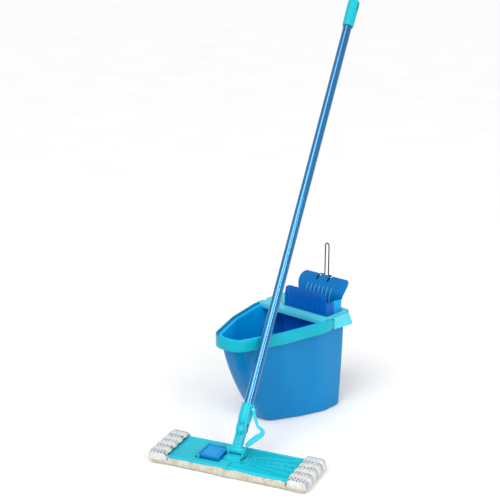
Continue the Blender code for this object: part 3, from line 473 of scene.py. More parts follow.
def bucket():
    """Tapered shell with a rolled flange, its inside and lip in a lighter blue of painted light, and its two
    pivot lugs.
    """
    outer, inner = bucket_levels()
    rings = [body_section(z, inset) for z, inset in outer + inner]
    obj = new_object("bucket_body", loft_mesh(rings), MAT["body"], smooth=50)
    # inside and lip get the lighter blue of painted light
    obj.data.materials.append(MAT["inside"])
    first_inner = len(outer) * len(rings[0])
    for k, face in enumerate(obj.data.polygons):
        face.material_index = 1 if k >= first_inner else 0
    place(obj, "bucket", "blue_plastic", "bucket_shell")
    for side, tag in ((-1, "near"), (1, "far")):
        start, end = (PIVOT_X, side * 0.0950, PIVOT_Z), (PIVOT_X, side * 0.1053, PIVOT_Z)
        lug = new_object("pivot_lug_" + tag, rod_mesh(0.0070, start, end, 36, 0.0006), MAT["body"])
        place(lug, "bucket", "blue_plastic", "bail_pin_" + tag)


def band():
    """The carrying handle: a strip round the nose that ends in discs about its pivots."""
    def half_height(x):
        d = x - PIVOT_X
        return BAND_HIGH / 2 if d <= 0 else math.sqrt(max((BAND_HIGH / 2) ** 2 - d * d, 0.0018 ** 2))

    path = [e for e in with_normals(plan(RIM, RIM_R)) if e[0].x < PIVOT_X - 0.001]
    path.sort(key=lambda e: math.atan2(e[0].y, -(e[0].x - 0.02)))
    side = half_at(plan(RIM, RIM_R), PIVOT_X + 0.004)
    xs = [PIVOT_X + (BAND_HIGH / 2 - 0.0002) * math.sin(math.pi / 2 * k / 12) for k in range(13)]
    line = [(Vector((x, -side)), Vector((0, -1))) for x in reversed(xs)] + path
    line += [(Vector((x, side)), Vector((0, 1))) for x in xs]
    rings = []
    for base, nrm in line:
        h = half_height(base.x)
        c = min(0.0011, h * 0.4)
        middle = [(-h * 0.35, 0.0), (0.0, -0.00025), (h * 0.35, 0.0)]
        rim = [(h - c, 0.0), (h - 0.3 * c, -0.0003), (h, -0.0009), (h, -0.0017), (h - 0.3 * c, -0.0023),
               (h - c, -BAND_THICK)]
        prof = [(-h + c, 0.0)] + middle + rim + [(-z, o) for z, o in rim[:0:-1]]
        rings.append([(*(base + nrm * o), PIVOT_Z + z) for z, o in prof])
    strap = new_object("bail_band", loft_mesh(rings), MAT["band"], smooth=40)
    place(strap, "bail", "teal_plastic", "bail_handle")


def flat_mesh(outline, thickness, holes=(), edge=0.0):
    """A flat outline with holes as a closed mesh; its rim is rounded by the curve's own bevel."""
    curve = bpy.data.curves.new("outline", "CURVE")
    curve.dimensions = "2D"
    curve.fill_mode = "BOTH"
    curve.extrude = thickness / 2 - edge
    curve.bevel_depth = edge
    curve.bevel_resolution = 2
    curve.offset = -edge
    for border in (outline, *holes):
        spline = curve.splines.new("POLY")
        spline.points.add(len(border) - 1)
        for point, (x, y) in zip(spline.points, border):
            point.co = (x, y, 0, 1)
        spline.use_cyclic_u = True
    tmp = bpy.data.objects.new("outline", curve)
    bpy.context.scene.collection.objects.link(tmp)
    bpy.context.view_layer.update()
    mesh = bpy.data.meshes.new_from_object(tmp.evaluated_get(bpy.context.evaluated_depsgraph_get()))
    bm = bmesh.new()
    bm.from_mesh(mesh)
    bmesh.ops.remove_doubles(bm, verts=bm.verts, dist=0.00001)
    bpy.data.objects.remove(tmp, do_unlink=True)
    return bm


def collar_deck():
    """The flat rear of the rim with the wringer's opening, the cross-bar's lip and its rib."""
    rim, inner = plan(RIM, RIM_R, 0.0020), plan(RIM, RIM_R, 0.0052)
    rear = [p for p in rim if p[0] > COLLAR_X + 0.0012]
    rear.sort(key=lambda p: math.atan2(p[1], p[0] - 0.02))
    a, b, c = half_at(inner, BAR_X), half_at(inner, COLLAR_X), half_at(rim, COLLAR_X)
    near, far = [(BAR_X, -a), (COLLAR_X, -b), (COLLAR_X, -c)], [(COLLAR_X, c), (COLLAR_X, b)]
    outline = [(BAR_X, a)] + near + rear + far
    lo, hi = (WX0 - 0.0022, WY0 - 0.0020), (WX1 + 0.0022, WY1 + 0.0020)
    opening = rounded([lo, (hi[0], lo[1]), hi, (lo[0], hi[1])], [0.003] * 4, 6, 2)
    bm = flat_mesh(outline, 0.0030, [opening], 0.0)
    deck = new_object("collar_deck", bm, MAT["collar"], Matrix.Translation((0, 0, RIM_Z - 0.0015)), smooth=30)
    place(deck, "bucket", "teal_plastic", "wringer_collar")
    lo, hi = (BAR_X - 0.0004, 0.001 - a, RIM_Z - 0.0125), (BAR_X + 0.0030, a - 0.001, RIM_Z - 0.0004)
    bm = box_mesh(lo, hi, 0.0008)
    place(new_object("collar_bar_lip", bm, MAT["collar"]), "bucket", "teal_plastic")
    lo, hi = (BAR_X + 0.0125, 0.006 - a, RIM_Z - 0.0010), (BAR_X + 0.0150, a - 0.006, RIM_Z + 0.0011)
    bm = box_mesh(lo, hi, 0.0009)
    place(new_object("collar_bar_rib", bm, MAT["collar"]), "bucket", "teal_plastic")


def skirt_profile(flare_share):
    """(outward, downward) points round the skirt's section, down its outside and back up its inside."""
    def out(d):
        return SKIRT_OUT * flare_share * (min(1.0, max(0.0, (d - 0.001) / 0.0295)) ** 1.35)
    outer = [(-0.0032, 0.0), (-0.0016, 0.0), (-0.0005, 0.0004), (0.0, 0.0014)]
    outer += [(out(d), d) for d in (0.004, 0.009, 0.014, 0.019, 0.024, 0.0285)]
    hem = [(out(0.0300) - 0.0003, 0.0300), (out(0.0305) - 0.0010, 0.0305), (out(0.0305) - 0.0020, 0.0305),
           (out(0.0298) - 0.0026, 0.0296)]
    inner = [(out(d) - 0.0026, d) for d in (0.024, 0.017, 0.010, 0.0040)] + [(-0.0032, 0.0030)]
    return outer + hem + inner


def collar_skirt():
    """The flared skirt round the rear of the rim."""
    x0 = COLLAR_X + 0.0003
    rim = plan(RIM, RIM_R)
    path = [e for e in with_normals(rim) if e[0].x > x0 + 0.0006]
    path.sort(key=lambda e: math.atan2(e[0].y, e[0].x - 0.02))
    side = half_at(rim, x0)
    near = [(Vector((x, -side)), Vector((0, -1))) for x in (x0, x0 + 0.0004)]
    far = [(Vector((x, side)), Vector((0, 1))) for x in (x0 + 0.0004, x0)]
    rings = []
    for base, nrm in near + path + far:
        share = smooth_step(base.x, COLLAR_X, COLLAR_X + SKIRT_RUN)
        rings.append([(*(base + nrm * o), RIM_Z - d) for o, d in skirt_profile(share)])
    place(new_object("collar_skirt", loft_mesh(rings), MAT["collar"], smooth=40), "bucket", "teal_plastic")


# ----------------------------------------------------------------- wringer
def front_top(y):
    """Height of the front wall's top edge, rounded down at both corners."""
    drop = W_FRONT_TOP - W_END_TOP
    edge = min(y - WY0, WY1 - y)
    if edge > drop:
        return W_FRONT_TOP
    return W_END_TOP + math.sqrt(max(drop ** 2 - (drop - edge) ** 2, 0.0))


def flare(v, out=0.0):
    """(x, z) on the back wall's backward curve, v from 0 to 1, moved out along its normal."""
    a = max(v, 0.0) * FLARE_A
    return (WX1 + FLARE_R * (1 - math.cos(a)) - math.cos(a) * out,
            FLARE_Z0 + FLARE_R * math.sin(a) + math.sin(a) * out)


def thick_grid(name, grid, thickness, mat, offset, smooth=40):
    """A wall from a grid of points, given its thickness and soft edges."""
    bm = bmesh.new()
    cols = [[bm.verts.new(p) for p in col] for col in grid]
    for a, b in zip(cols, cols[1:]):
        for i in range(len(a) - 1):
            bm.faces.new((a[i], b[i], b[i + 1], a[i + 1]))
    mesh = bpy.data.meshes.new(name)
    bm.to_mesh(mesh)
    bm.free()
    obj = bpy.data.objects.new(name, mesh)
    bpy.context.scene.collection.objects.link(obj)
    mod = obj.modifiers.new("wall", "SOLIDIFY")
    mod.thickness, mod.offset, mod.use_even_offset = thickness, offset, True
    mod = obj.modifiers.new("edge", "BEVEL")
    mod.width, mod.segments, mod.limit_method, mod.angle_limit = 0.0007, 2, "ANGLE", math.radians(50)
    evaluated(obj)
    obj.data.materials.clear()
    obj.data.materials.append(mat)
    obj.data.shade_smooth()
    obj.data.set_sharp_from_angle(angle=math.radians(smooth))
    return obj


def wringer_ledge(name, x0, x1, mat, slot):
    """The ledge that rests on the collar."""
    bm = box_mesh((x0, WY0 + 0.004, RIM_Z + 0.0004), (x1, WY1 - 0.004, RIM_Z + 0.0030), 0.0006)
    place(new_object(name, bm, mat), "wringer", slot)


def front_columns():
    """(x, y, top) along the front half: one end, its corner, the fluted front, and back."""
    corner = []
    for k in range(1, 6):
        a = math.pi / 2 * k / 6
        corner.append((WX0 + W_CORNER - W_CORNER * math.sin(a), W_CORNER - W_CORNER * math.cos(a),
                       W_END_TOP + 0.0002 * k))
    end = [W_SPLIT - 0.0002, WX0 + 0.016, WX0 + W_CORNER]
    cols = [(x, WY0, W_END_TOP) for x in end] + [(x, WY0 + d, top) for x, d, top in corner]
    lo, hi = WY0 + W_CORNER, WY1 - W_CORNER
    for k in range(W_FLUTES * 10 + 1):
        y = lo + (hi - lo) / W_FLUTES * k / 10
        wave = max(0.0, math.cos(((k / 10) % 1.0 - 0.5) * 2 * math.pi) + 0.2) / 1.2
        cols.append((WX0 + 0.0011 * wave, y, front_top(y)))
    cols += [(x, WY1 - d, top) for x, d, top in reversed(corner)]
    return cols + [(x, WY1, W_END_TOP) for x in reversed(end)]


def wringer_front():
    """The fluted front wall, wrapped round to the middle of both ends."""
    grid = []
    for x, y, top in front_columns():
        last = W_LEVELS[-1]
        levels = W_LEVELS + [last + (top - last) * 0.35, last + (top - last) * 0.7, top]
        grid.append([(x, y, z) for z in levels])
    wall = thick_grid("wringer_front_wall", grid, W_WALL, MAT["press"], 1.0)
    place(wall, "wringer", "deep_blue_plastic", "wringer_front")
    wringer_ledge("wringer_front_ledge", WX0 - 0.0046, WX0 + 0.0010, MAT["press"], "deep_blue_plastic")


def back_edge(y, notches):
    """How far up the flare the back wall reaches at y: rounded corners and two notches for the wire."""
    limit, corner = 1.0, 0.013
    for d in (y - BACK_Y0, BACK_Y1 - y):
        if d < corner:
            limit = min(limit, 0.70 + 0.30 * math.sqrt(max(0.0, 1 - ((corner - d) / corner) ** 2)))
    near = min(abs(y - n) for n in notches)
    if near < 0.0042:
        limit -= 0.10 * min(1.0, (0.0042 - near) / 0.0012)
    return limit


def wringer_back():
    """The back wall, which widens and curls backwards above the rim."""
    notches = (WIRE_Y - WIRE_FOOT, WIRE_Y + WIRE_FOOT)
    ys = [BACK_Y0 + (BACK_Y1 - BACK_Y0) * k / 96 for k in range(97)]
    ys = sorted(ys + [n + d for n in notches for d in (-0.0034, -0.0027, 0.0027, 0.0034)])
    rows = 22
    grid = []
    for y in ys:
        share = (y - BACK_Y0) / (BACK_Y1 - BACK_Y0)
        inner = WY0 + 0.0022 + share * (WY1 - WY0 - 0.0044)
        col = [(WX1, inner, z) for z in W_LEVELS + [0.2555]]
        limit = back_edge(y, notches)
        for row in range(rows):
            v = row / (rows - 1) * limit
            x, z = flare(v)
            col.append((x, inner + (y - inner) * smooth_step(v, 0.0, 0.625), z))
        grid.append(col)
    wall = thick_grid("wringer_back_wall", grid, W_WALL, MAT["press_back"], -1.0)
    place(wall, "wringer", "wringer_blue_plastic", "wringer_back")


def wringer_end(tag, y, inward):
    """The lighter half of an end wall, behind the seam."""
    cols = []
    for x, fall in ((W_SPLIT + 0.0002, 0.0), (WX1 - 0.020, 0.35), (WX1 - 0.008, 0.8), (WX1 - 0.003, 1.0)):
        levels = W_LEVELS + [0.2535, 0.2610, W_END_TOP - fall * 0.0035]
        cols.append([(x, y, z) for z in levels])
    cols.append([(WX1 - 0.0004, y + inward * 0.0012, p[2]) for p in cols[-1]])
    if inward < 0:
        cols.reverse()
    wall = thick_grid("wringer_end_" + tag, cols, W_WALL, MAT["press_end"], -1.0)
    place(wall, "wringer", "wringer_blue_plastic")


def wringer_ribs():
    """Curved ribs that press the water out of the pad."""
    x0 = WX1 - W_WALL - 0.0006
    for k in range(W_RIBS):
        y = WIRE_Y + 0.0005 + (k - (W_RIBS - 1) / 2) * W_RIB_PITCH
        pts = [(x0, y, 0.150), (x0, y, 0.235)]
        for j in range(15):
            x, z = flare(0.02 + 0.50 * j / 14, W_WALL + 0.0008 - 0.0022 * (j / 14) ** 3)
            pts.append((x, y, z))
        rail = new_object(f"wringer_rib_{k}", tube_mesh(pts, 0.0014, 10), MAT["press_rib"], smooth=60)
        place(rail, "wringer", "wringer_blue_plastic")


def wringer():
    wringer_front()
    wringer_back()
    wringer_end("near", WY0, 1)
    wringer_end("far", WY1, -1)
    wringer_ledge("wringer_back_ledge", WX1 - 0.0010, WX1 + 0.0050, MAT["press_back"], "wringer_blue_plastic")
    wringer_ribs()


def tube_mesh(points, radius, sides):
    """A round bar swept along the points."""
    pts = [Vector(p) for p in points]
    rings = []
    ref = None
    for i, p in enumerate(pts):
        t = (pts[min(i + 1, len(pts) - 1)] - pts[max(i - 1, 0)]).normalized()
        if ref is None:
            ref = t.orthogonal().normalized()
        ref = (ref - t * ref.dot(t)).normalized()
        other = t.cross(ref)
        rings.append([tuple(p + (ref * math.cos(a) + other * math.sin(a)) * radius)
                      for a in (2 * math.pi * k / sides for k in range(sides))])
    return loft_mesh(rings)


# -------------------------------------------------------------- mop plates
def plate_height(u, v, side):
    """Height of a wing's top face above its under face, at u from the seam and v across."""
    across = abs(v)
    h = 0.0066
    bead_in = smooth_step(across, WING_W - 0.0052, WING_W - 0.0040)
    bead_out = smooth_step(across, WING_W - 0.0022, WING_W)
    h += 0.0022 * bead_in * (1 - bead_out) - 0.0012 * smooth_step(across, WING_W - 0.0022, WING_W)
    if side > 0:
        # fan of ribs from the joint towards the outer end
        fade = smooth_step(u, 0.028, 0.036) * (1 - smooth_step(u, 0.134, 0.140))
        spread = (u - 0.03) / 0.11
        width = 0.0016 + 0.0010 * spread
        for place_across in (-0.72, -0.24, 0.24, 0.72):
            d = abs(v - place_across * (0.0185 + 0.030 * spread)) / width
            h += fade * 0.0024 * (1 - smooth_step(d, 0.7, 1.4))
            h -= fade * 0.0046 * smooth_step(d, 1.0, 1.6) * (1 - smooth_step(d, 2.4, 4.2))
        h += 0.0010 * smooth_step(u, 0.1395, 0.1410) * (1 - smooth_step(u, 0.146, 0.148))
    else:
        # shallow well round the foot pedal and a lowered field beyond it
        d = max(0.0295 - u, u - 0.0862, across - 0.0352, 0.0)
        if d < 0.002:
            h -= 0.0034 * (1 - smooth_step(d, 0.0003, 0.0011))
        h -= 0.0012 * smooth_step(u, 0.0925, 0.0960) * smooth_step(WING_W - across, 0.010, 0.0125)
    return min(h, WING_Z1 - WING_Z0)


def on_plate(u, v):
    """Whether a wing has material there: outside the joint's cut-out and inside the round corners."""
    if u < 0.0275 and abs(v) < 0.0215:
        return False
    radius = 0.014
    past_u, past_v = u - (WING_L - radius), abs(v) - (WING_W - radius)
    return not (past_u > 0 and past_v > 0 and past_u ** 2 + past_v ** 2 > radius ** 2)


def plate_mesh(side):
    """A closed plate from square cells: its top, its under face, and walls round its borders."""
    us = [0.0006 + (WING_L - 0.0006) * k / 190 for k in range(191)]
    vs = [-WING_W + 2 * WING_W * k / 124 for k in range(125)]
    cells = [(i, j) for i in range(len(us) - 1) for j in range(len(vs) - 1)
             if on_plate((us[i] + us[i + 1]) / 2, (vs[j] + vs[j + 1]) / 2)]
    filled = set(cells)
    bm = bmesh.new()
    top, low = {}, {}
    for i, j in cells:
        for a, b in ((i, j), (i + 1, j), (i, j + 1), (i + 1, j + 1)):
            if (a, b) not in top:
                u, v = us[a], vs[b]
                top[a, b] = bm.verts.new((side * u, v, WING_Z0 + plate_height(u, v, side)))
                low[a, b] = bm.verts.new((side * u, v, WING_Z0 + 0.0001))
    for i, j in cells:
        corners = [(i, j), (i + 1, j), (i + 1, j + 1), (i, j + 1)]
        bm.faces.new([top[c] for c in corners])
        bm.faces.new([low[c] for c in reversed(corners)])
        neighbours = [(i, j - 1), (i + 1, j), (i, j + 1), (i - 1, j)]
        for k, neighbour in enumerate(neighbours):
            if neighbour not in filled:
                a, b = corners[k], corners[(k + 1) % 4]
                bm.faces.new((top[a], low[a], low[b], top[b]))
    return bm


def wing_plate(side, body):
    """A wing with the knuckle and web of its hinge."""
    tag = "right" if side > 0 else "left"
    obj = new_object("wing_plate_" + tag, plate_mesh(side), MAT["mop"], MOP, smooth=40)
    place(obj, body, "teal_plastic", "wing_" + tag)
    hinge = MOP @ Matrix.Translation((side * HINGE_U, 0, HINGE_Z))
    bm = rod_mesh(0.0042, (0, -0.0106, 0), (0, 0.0106, 0), 32, 0.0005)
    place(new_object("wing_knuckle_" + tag, bm, MAT["mop"], hinge), body, "teal_plastic")
    x0, x1 = sorted((side * 0.0010, side * 0.0072))
    bm = box_mesh((x0, -0.0102, -0.0030), (x1, 0.0102, 0.0024), 0.0006)
    place(new_object("wing_web_" + tag, bm, MAT["mop"], hinge), body, "teal_plastic")


def pedal_ears():
    """The two ears that hold the foot pedal's pin."""
    for side, tag in ((-1, "near"), (1, "far")):
        y0, y1 = sorted((side * 0.0307, side * 0.0341))
        bm = box_mesh((-0.0828, y0, WING_Z0 + 0.003), (-0.0762, y1, 0.0280), 0.0010, 3)
        place(new_object("pedal_ear_" + tag, bm, MAT["mop"], MOP), "left_wing", "teal_plastic")


# -------------------------------------------------------------- terry pads
def combined(obj, other, operation="UNION"):
    """The object joined with, or cut by, another, which is then removed."""
    mod = obj.modifiers.new("b", "BOOLEAN")
    mod.operation, mod.solver, mod.object = operation, "EXACT", other
    evaluated(obj)
    bpy.data.objects.remove(other, do_unlink=True)
    return obj


def swell(obj, voxel, pressure, cap):
    """Voxel remesh, then a short pressure simulation, with each point's travel capped."""
    mod = obj.modifiers.new("voxels", "REMESH")
    mod.mode, mod.voxel_size = "VOXEL", voxel
    evaluated(obj)
    before = [v.co.copy() for v in obj.data.vertices]
    cloth = obj.modifiers.new("cloth", "CLOTH")
    st = cloth.settings
    st.quality = 4
    st.mass = 0.2
    st.use_pressure = True
    st.uniform_pressure_force = pressure
    st.effector_weights.gravity = 0
    st.tension_stiffness = st.compression_stiffness = 12
    st.bending_stiffness = 0.4
    scene = bpy.context.scene
    for step in range(1, 19):
        scene.frame_set(step)
    evaluated(obj)
    scene.frame_set(1)
    for v, old in zip(obj.data.vertices, before):
        move = v.co - old
        if move.length > cap:
            v.co = old + move * (cap / move.length)
    return obj


def pad_form(side):
    """Half of the pad: a swollen slab, the raised pocket at its end and the hollow for the wing."""
    tag = "right" if side > 0 else "left"

    def block(name, u0, u1, half_wide, z0, z1, edge=0.0, segments=2):
        a, b = sorted((side * u0, side * u1))
        return new_object(name, box_mesh((a, -half_wide, z0), (b, half_wide, z1), edge, segments))
    slab = block("terry_pad_" + tag, -0.0110, PAD_L, PAD_W + 0.0030, 0.0010, 0.0165, 0.0055, 3)
    swell(slab, 0.0042, 3.0, 0.0030)
    pocket = block("pocket", POCKET_U, PAD_L + 0.0020, PAD_W + 0.0035, 0.0030, POCKET_Z + 0.0015, 0.0105, 5)
    combined(slab, pocket)
    hollow = block("hollow", POCKET_U - 0.012, WING_L + 0.0008, WING_W + 0.0008,
                   PAD_H - 0.0002, WING_Z1 + 0.0006)
    combined(slab, hollow, "DIFFERENCE")
    mod = slab.modifiers.new("voxels", "REMESH")
    mod.mode, mod.voxel_size = "VOXEL", 0.0017
    mod = slab.modifiers.new("soft", "SMOOTH")
    mod.factor, mod.iterations = 0.5, 2
    mod = slab.modifiers.new("fine", "SUBSURF")
    mod.levels = mod.render_levels = 1
    return evaluated(slab)


def pile_height(p):
    """How far the terry stands out there: loops, lumps, and seams between the pocket's woven bands."""
    lump = noise.noise(p * 95.0) * 0.00055 + noise.noise(p * 330.0) * 0.00050 + noise.noise(p * 30.0) * 0.0005
    lump *= smooth_step(abs(p.x), 0.0, 0.004)
    if abs(p.x) > POCKET_U - 0.002 and p.z > 0.010:
        row = abs((p.y + STITCH_EDGE) % (2 * STITCH_ROW) - STITCH_ROW)
        lump += 0.0016 * smooth_step(row, 0.005, 0.010) - 0.0004
    return lump


def clear_of_wing(p):
    """Keeps the pad's surface under the wing plate, and the pocket's above it."""
    if abs(p.x) < WING_L + 0.0004 and abs(p.y) < WING_W + 0.0004:
        if abs(p.x) < POCKET_U - 0.004 or p.z < 0.0185:
            p.z = min(p.z, WING_Z0 - 0.0004)
        else:
            p.z = max(p.z, WING_Z1 + 0.0002)
    p.z = max(p.z, 0.0)
    p.x = max(min(p.x, PAD_L + 0.005), -PAD_L - 0.005)


def terry_pad(side):
    """Half of the soft pad, between the centre block and its wing."""
    slab = pad_form(side)
    mesh = slab.data
    mesh.materials.clear()
    mesh.materials.append(MAT["terry"])
    rest = mesh.attributes.new("rest", "FLOAT_VECTOR", "POINT")
    rest.data.foreach_set("vector", [c for v in mesh.vertices for c in v.co])
    normals = [n.vector.copy() for n in mesh.vertex_normals]
    for v, n in zip(mesh.vertices, normals):
        v.co += n * pile_height(v.co)
        clear_of_wing(v.co)
    mesh.shade_smooth()
    slab.matrix_world = MOP
    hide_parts("pad_right" if side > 0 else "pad_left")
    if side > 0:
        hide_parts("pad_middle")
    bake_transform(slab)


def eyelets():
    """Two small drain slots with stitched rims in the left pocket, each slot a dark disc of painted shade."""
    for k, (u, v) in enumerate(((-0.1500, -0.0270), (-0.1510, 0.0275))):
        pts = [(u + 0.0030 * math.cos(a), v + 0.0048 * math.sin(a), 0.0286) for a in
               (2 * math.pi * j / 24 for j in range(25))]
        m = moulded(f"eyelet_thread_{k}", (0.30, 0.25, 0.17), 0.8, 0.0)
        place(new_object(f"pocket_eyelet_{k}", tube_mesh(pts, 0.0007, 8), m, MOP), "left_wing", "terry")
        # painted shade: a dark disc stands for the shade inside the slot
        disc = new_object(f"pocket_eyelet_shade_disc_{k}", rod_mesh(0.0030, (u, v, 0.0272), (u, v, 0.0288), 24),
                          moulded(f"eyelet_painted_shade_{k}", (0.10, 0.08, 0.05), 0.9, 0.0), MOP)
        place(disc, "left_wing", "terry")


# ------------------------------------------------------------------ handle
def handle():
    """The open-ended tube."""
    inside = TUBE_R - TUBE_WALL
    prof = [(inside, TUBE_START), (TUBE_R, TUBE_START), (TUBE_R, 0.30), (TUBE_R, 0.60), (TUBE_R, 0.90),
            (TUBE_R, TUBE_END), (inside, TUBE_END)]
    rings = [[(rad * math.cos(a), rad * math.sin(a), z) for a in (2 * math.pi * k / 64 for k in range(64))]
             for rad, z in prof]
    tube = new_object("handle_tube", loft_mesh(rings, wrap=True), MAT["tube"], HANDLE, smooth=40)
    place(tube, "handle", "blue_tube", "tube")


def foot_pedal():
    """Pressed plate with a raised rim round a lighter recessed tread."""
    lo, hi = (-0.0840, -0.0300, 0.0190), (-0.0305, 0.0300, 0.0262)
    bm = box_mesh(lo, hi)
    top = max(bm.faces, key=lambda f: f.calc_center_median().z)
    bmesh.ops.inset_region(bm, faces=[top], thickness=0.0060, depth=0.0)
    bmesh.ops.inset_region(bm, faces=[top], thickness=0.0012, depth=-0.0020)
    bmesh.ops.inset_region(bm, faces=[top], thickness=0.0080, depth=0.0)
    bmesh.ops.inset_region(bm, faces=[top], thickness=0.0010, depth=0.0008)
    centre = top.calc_center_median()
    bmesh.ops.bevel(bm, geom=[e for e in bm.edges if e.calc_face_angle(0) > 0.9], offset=0.0008, segments=2,
                    profile=0.5, affect="EDGES", clamp_overlap=True)
    obj = new_object("foot_pedal_plate", bm, MAT["pedal"], MOP, smooth=35)
    obj.data.materials.append(MAT["tread"])
    for face in obj.data.polygons:
        c = face.center
        if face.normal.z > 0.8 and abs(c.x - centre.x) < 0.0200 and abs(c.y - centre.y) < 0.0236:
            face.material_index = 1
    place(obj, "pedal", "blue_plastic", "foot_pedal")


def circle(radius, steps):
    """Points round a circle, with the first repeated at the end."""
    turns = [2 * math.pi * k / steps for k in range(steps + 1)]
    return [(radius * math.cos(a), radius * math.sin(a)) for a in turns]


def bead(name, thick, points):
    """A raised round bead on the handle."""
    obj = new_object(name, tube_mesh(points, thick, 10), MAT["mop"], HANDLE, smooth=60)
    place(obj, "handle", "teal_plastic")


def joint_details():
    """Rails and foot of the neck, beads round the boss, the socket's lip and the cross-bar's flanges."""
    for k, (u, w) in enumerate(((-0.0092, 0.0034), (0.0, 0.0026), (0.0092, 0.0034))):
        bm = box_mesh((u - w / 2, -0.0070, 0.0075), (u + w / 2, -0.0040, 0.0355), 0.0008, 3)
        place(new_object(f"neck_rail_{k}", bm, MAT["mop"], HANDLE), "mop_yoke", "teal_plastic")
    bm = box_mesh((-0.0112, -0.0072, 0.0045), (0.0112, -0.0036, 0.0085), 0.0008, 3)
    place(new_object("neck_foot", bm, MAT["mop"], HANDLE), "mop_yoke", "teal_plastic")
    bead("boss_bead", 0.0008, [(x, -0.0119, BOSS_Z + z) for x, z in circle(0.0072, 40)])
    bead("cheek_bead", 0.0007, [(x, -0.0085, BOSS_Z + z) for x, z in circle(0.0112, 40)])
    bead("socket_lip", 0.0012, [(x, y, 0.1052) for x, y in circle(0.0142, 48)])
    for side, tag in ((-1, "left"), (1, "right")):
        bm = rod_mesh(0.0078, (side * 0.0194, 0, 0.040), (side * 0.0214, 0, 0.040), 36, 0.0006)
        place(new_object("bar_flange_" + tag, bm, MAT["mop"], MOP), "mop_centre", "teal_plastic")


def strip(points, widths):
    """Outline of a band along the points, with its width at each."""
    left, right = [], []
    vs = [Vector(p) for p in points]
    for i, p in enumerate(vs):
        d = (vs[min(i + 1, len(vs) - 1)] - vs[max(i - 1, 0)]).normalized()
        n = Vector((-d.y, d.x)) * widths[i] / 2
        left.append(tuple(p + n))
        right.append(tuple(p - n))
    return left + right[::-1]


def smooth_line(points, values, steps=5):
    """Catmull-Rom through the points, with the values carried along."""
    out, vals = [], []
    n = len(points)
    for i in range(n - 1):
        p = [Vector(points[max(0, min(n - 1, i + k))]) for k in (-1, 0, 1, 2)]
        for k in range(steps):
            t = k / steps
            square = (2 * p[0] - 5 * p[1] + 4 * p[2] - p[3]) * t * t
            cube = (3 * p[1] - p[0] - 3 * p[2] + p[3]) * t ** 3
            out.append(tuple(0.5 * (2 * p[1] + (p[2] - p[0]) * t + square + cube)))
            vals.append(values[i] * (1 - t) + values[i + 1] * t)
    return out + [tuple(points[-1])], vals + [values[-1]]


def lock_arm():
    """Sickle-shaped arm: a slender link to the elbow, then a broad arc back to the cross-bar."""
    pts = [(0.0, 0.0040), (0.0, 0.0), (0.0060, -0.0110), (0.0135, -0.0245), (0.0200, -0.0350),
           (0.0290, -0.0395), (0.0350, -0.0455), (0.0330, -0.0525), (0.0240, -0.0610), (0.0140, -0.0720),
           (0.0045, -0.0835)]
    wid = [0.0070, 0.0070, 0.0060, 0.0056, 0.0060, 0.0072, 0.0086, 0.0110, 0.0130, 0.0120, 0.0085]
    at = HANDLE @ Matrix.Translation((0.0195, -0.0123, 0.0935)) @ Matrix.Rotation(math.radians(90), 4, "X")
    line, widths = smooth_line(pts, wid)
    bm = flat_mesh(strip(line, widths), 0.0046, (), 0.0009)
    place(new_object("lock_arm_body", bm, MAT["mop"], at, smooth=40), "lock", "teal_plastic", "lock_arm")
    line, widths = smooth_line(pts[5:], [0.0018, 0.0024, 0.0030, 0.0034, 0.0032, 0.0022])
    bm = flat_mesh(strip(line, widths), 0.0062, (), 0.0005)
    place(new_object("lock_arm_rail", bm, MAT["mop"], at, smooth=40), "lock", "teal_plastic")


bucket()
band()
collar_deck()
collar_skirt()
wringer()
for side, body in ((1, "right_wing"), (-1, "left_wing")):
    wing_plate(side, body)
    terry_pad(side)
pedal_ears()
foot_pedal()
joint_details()
eyelets()
handle()

refined("end_cap", MAT["cap"], 0.0009, 3, smooth=40, angle=40)
refined("socket", MAT["mop"], 0.0006, 2)
refined("yoke", MAT["mop"], 0.0007, 2)
refined("centre_block", MAT["mop"], 0.0005, 2)
lock_arm()
refined("swing_pin", MAT["mop"], 0.0006, 2)
refined("swing_cap", MAT["mop"], 0.0006, 2)
loop = refined("wire_loop", MAT["wire"], 0.0, 2, smooth=70)
for v, n in zip(loop.data.vertices, [n.vector.copy() for n in loop.data.vertex_normals]):
    v.co += n * 0.0004
for name in ("wing_pin_left", "wing_pin_right", "tilt_pin", "pedal_pin", "lock_pin", "tube_screw"):
    refined(name, MAT["steel"], 0.0003, 1)
refined("pedal_spring", MAT["steel"], 0.0, 1, smooth=70)
for name in ("wringer_clip_near", "wringer_clip_far"):
    refined(name, MAT["press"], 0.0003, 1)

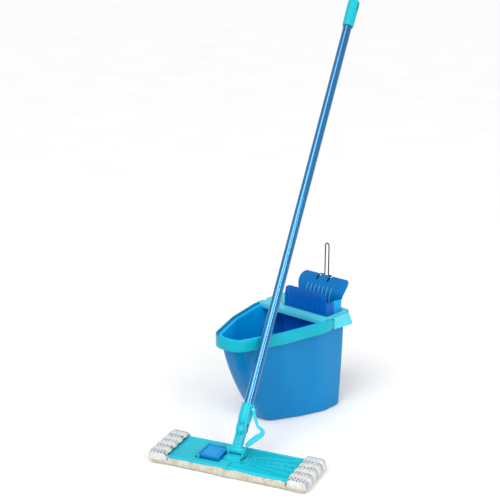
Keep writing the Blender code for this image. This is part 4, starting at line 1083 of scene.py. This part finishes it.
# ------------------------------------------------------------------- stage
floor_mat = Nodes("floor_paper")
grain = floor_mat.noise(3.0, 2.0)
floor_mat.link(floor_mat.ramp(grain, [(0.3, (0.90, 0.90, 0.90)), (0.7, (0.925, 0.925, 0.925))]),
               floor_mat.bsdf.inputs["Base Color"])
floor_mat.bsdf.inputs["Roughness"].default_value = 0.9
floor_mat.bsdf.inputs["Specular IOR Level"].default_value = 0.1
bm = bmesh.new()
bmesh.ops.create_grid(bm, x_segments=1, y_segments=1, size=30)
floor = new_object("floor", bm, floor_mat.mat, Matrix.Translation((0, 0, -0.0004)), smooth=0)

world = bpy.data.worlds.new("studio")
bpy.context.scene.world = world
world.use_nodes = True
back = world.node_tree.nodes["Background"]
back.inputs["Color"].default_value = (1.0, 1.0, 1.0, 1)
back.inputs["Strength"].default_value = 0.68


sun = bpy.data.lights.new("window", "SUN")
sun.energy = 1.62
sun.angle = math.radians(40)
lamp = bpy.data.objects.new("window", sun)
bpy.context.scene.collection.objects.link(lamp)
lamp.rotation_euler = Vector((0.80, 0.10, -0.95)).to_track_quat("-Z", "Y").to_euler()
# tall strip that draws the highlight down the tube
strip_light = bpy.data.lights.new("strip", "AREA")
strip_light.shape, strip_light.size, strip_light.size_y = "RECTANGLE", 0.30, 3.0
strip_light.energy = 38
lamp = bpy.data.objects.new("strip", strip_light)
bpy.context.scene.collection.objects.link(lamp)
lamp.location = (-0.85, -2.5, 1.5)
lamp.rotation_euler = (Vector((-0.1, 0, 0.45)) - lamp.location).to_track_quat("-Z", "Y").to_euler()

# ------------------------------------------------------------------ camera
cam = bpy.data.cameras.new("photo_camera")
cam.sensor_width = 36.0
cam.lens = 85.61
eye = bpy.data.objects.new("photo_camera", cam)
bpy.context.scene.collection.objects.link(eye)
eye.location = (-2.1237, -1.7233, 1.2438)
azimuth, pitch, roll = math.radians(40.974), math.radians(17.017), math.radians(0.23)
look = Vector((math.cos(azimuth) * math.cos(pitch), math.sin(azimuth) * math.cos(pitch), -math.sin(pitch)))
eye.rotation_euler = (look.to_track_quat("-Z", "Y").to_matrix() @ Matrix.Rotation(roll, 3, "Z")).to_euler()
bpy.context.scene.camera = eye
bpy.context.scene.view_settings.view_transform = "Standard"
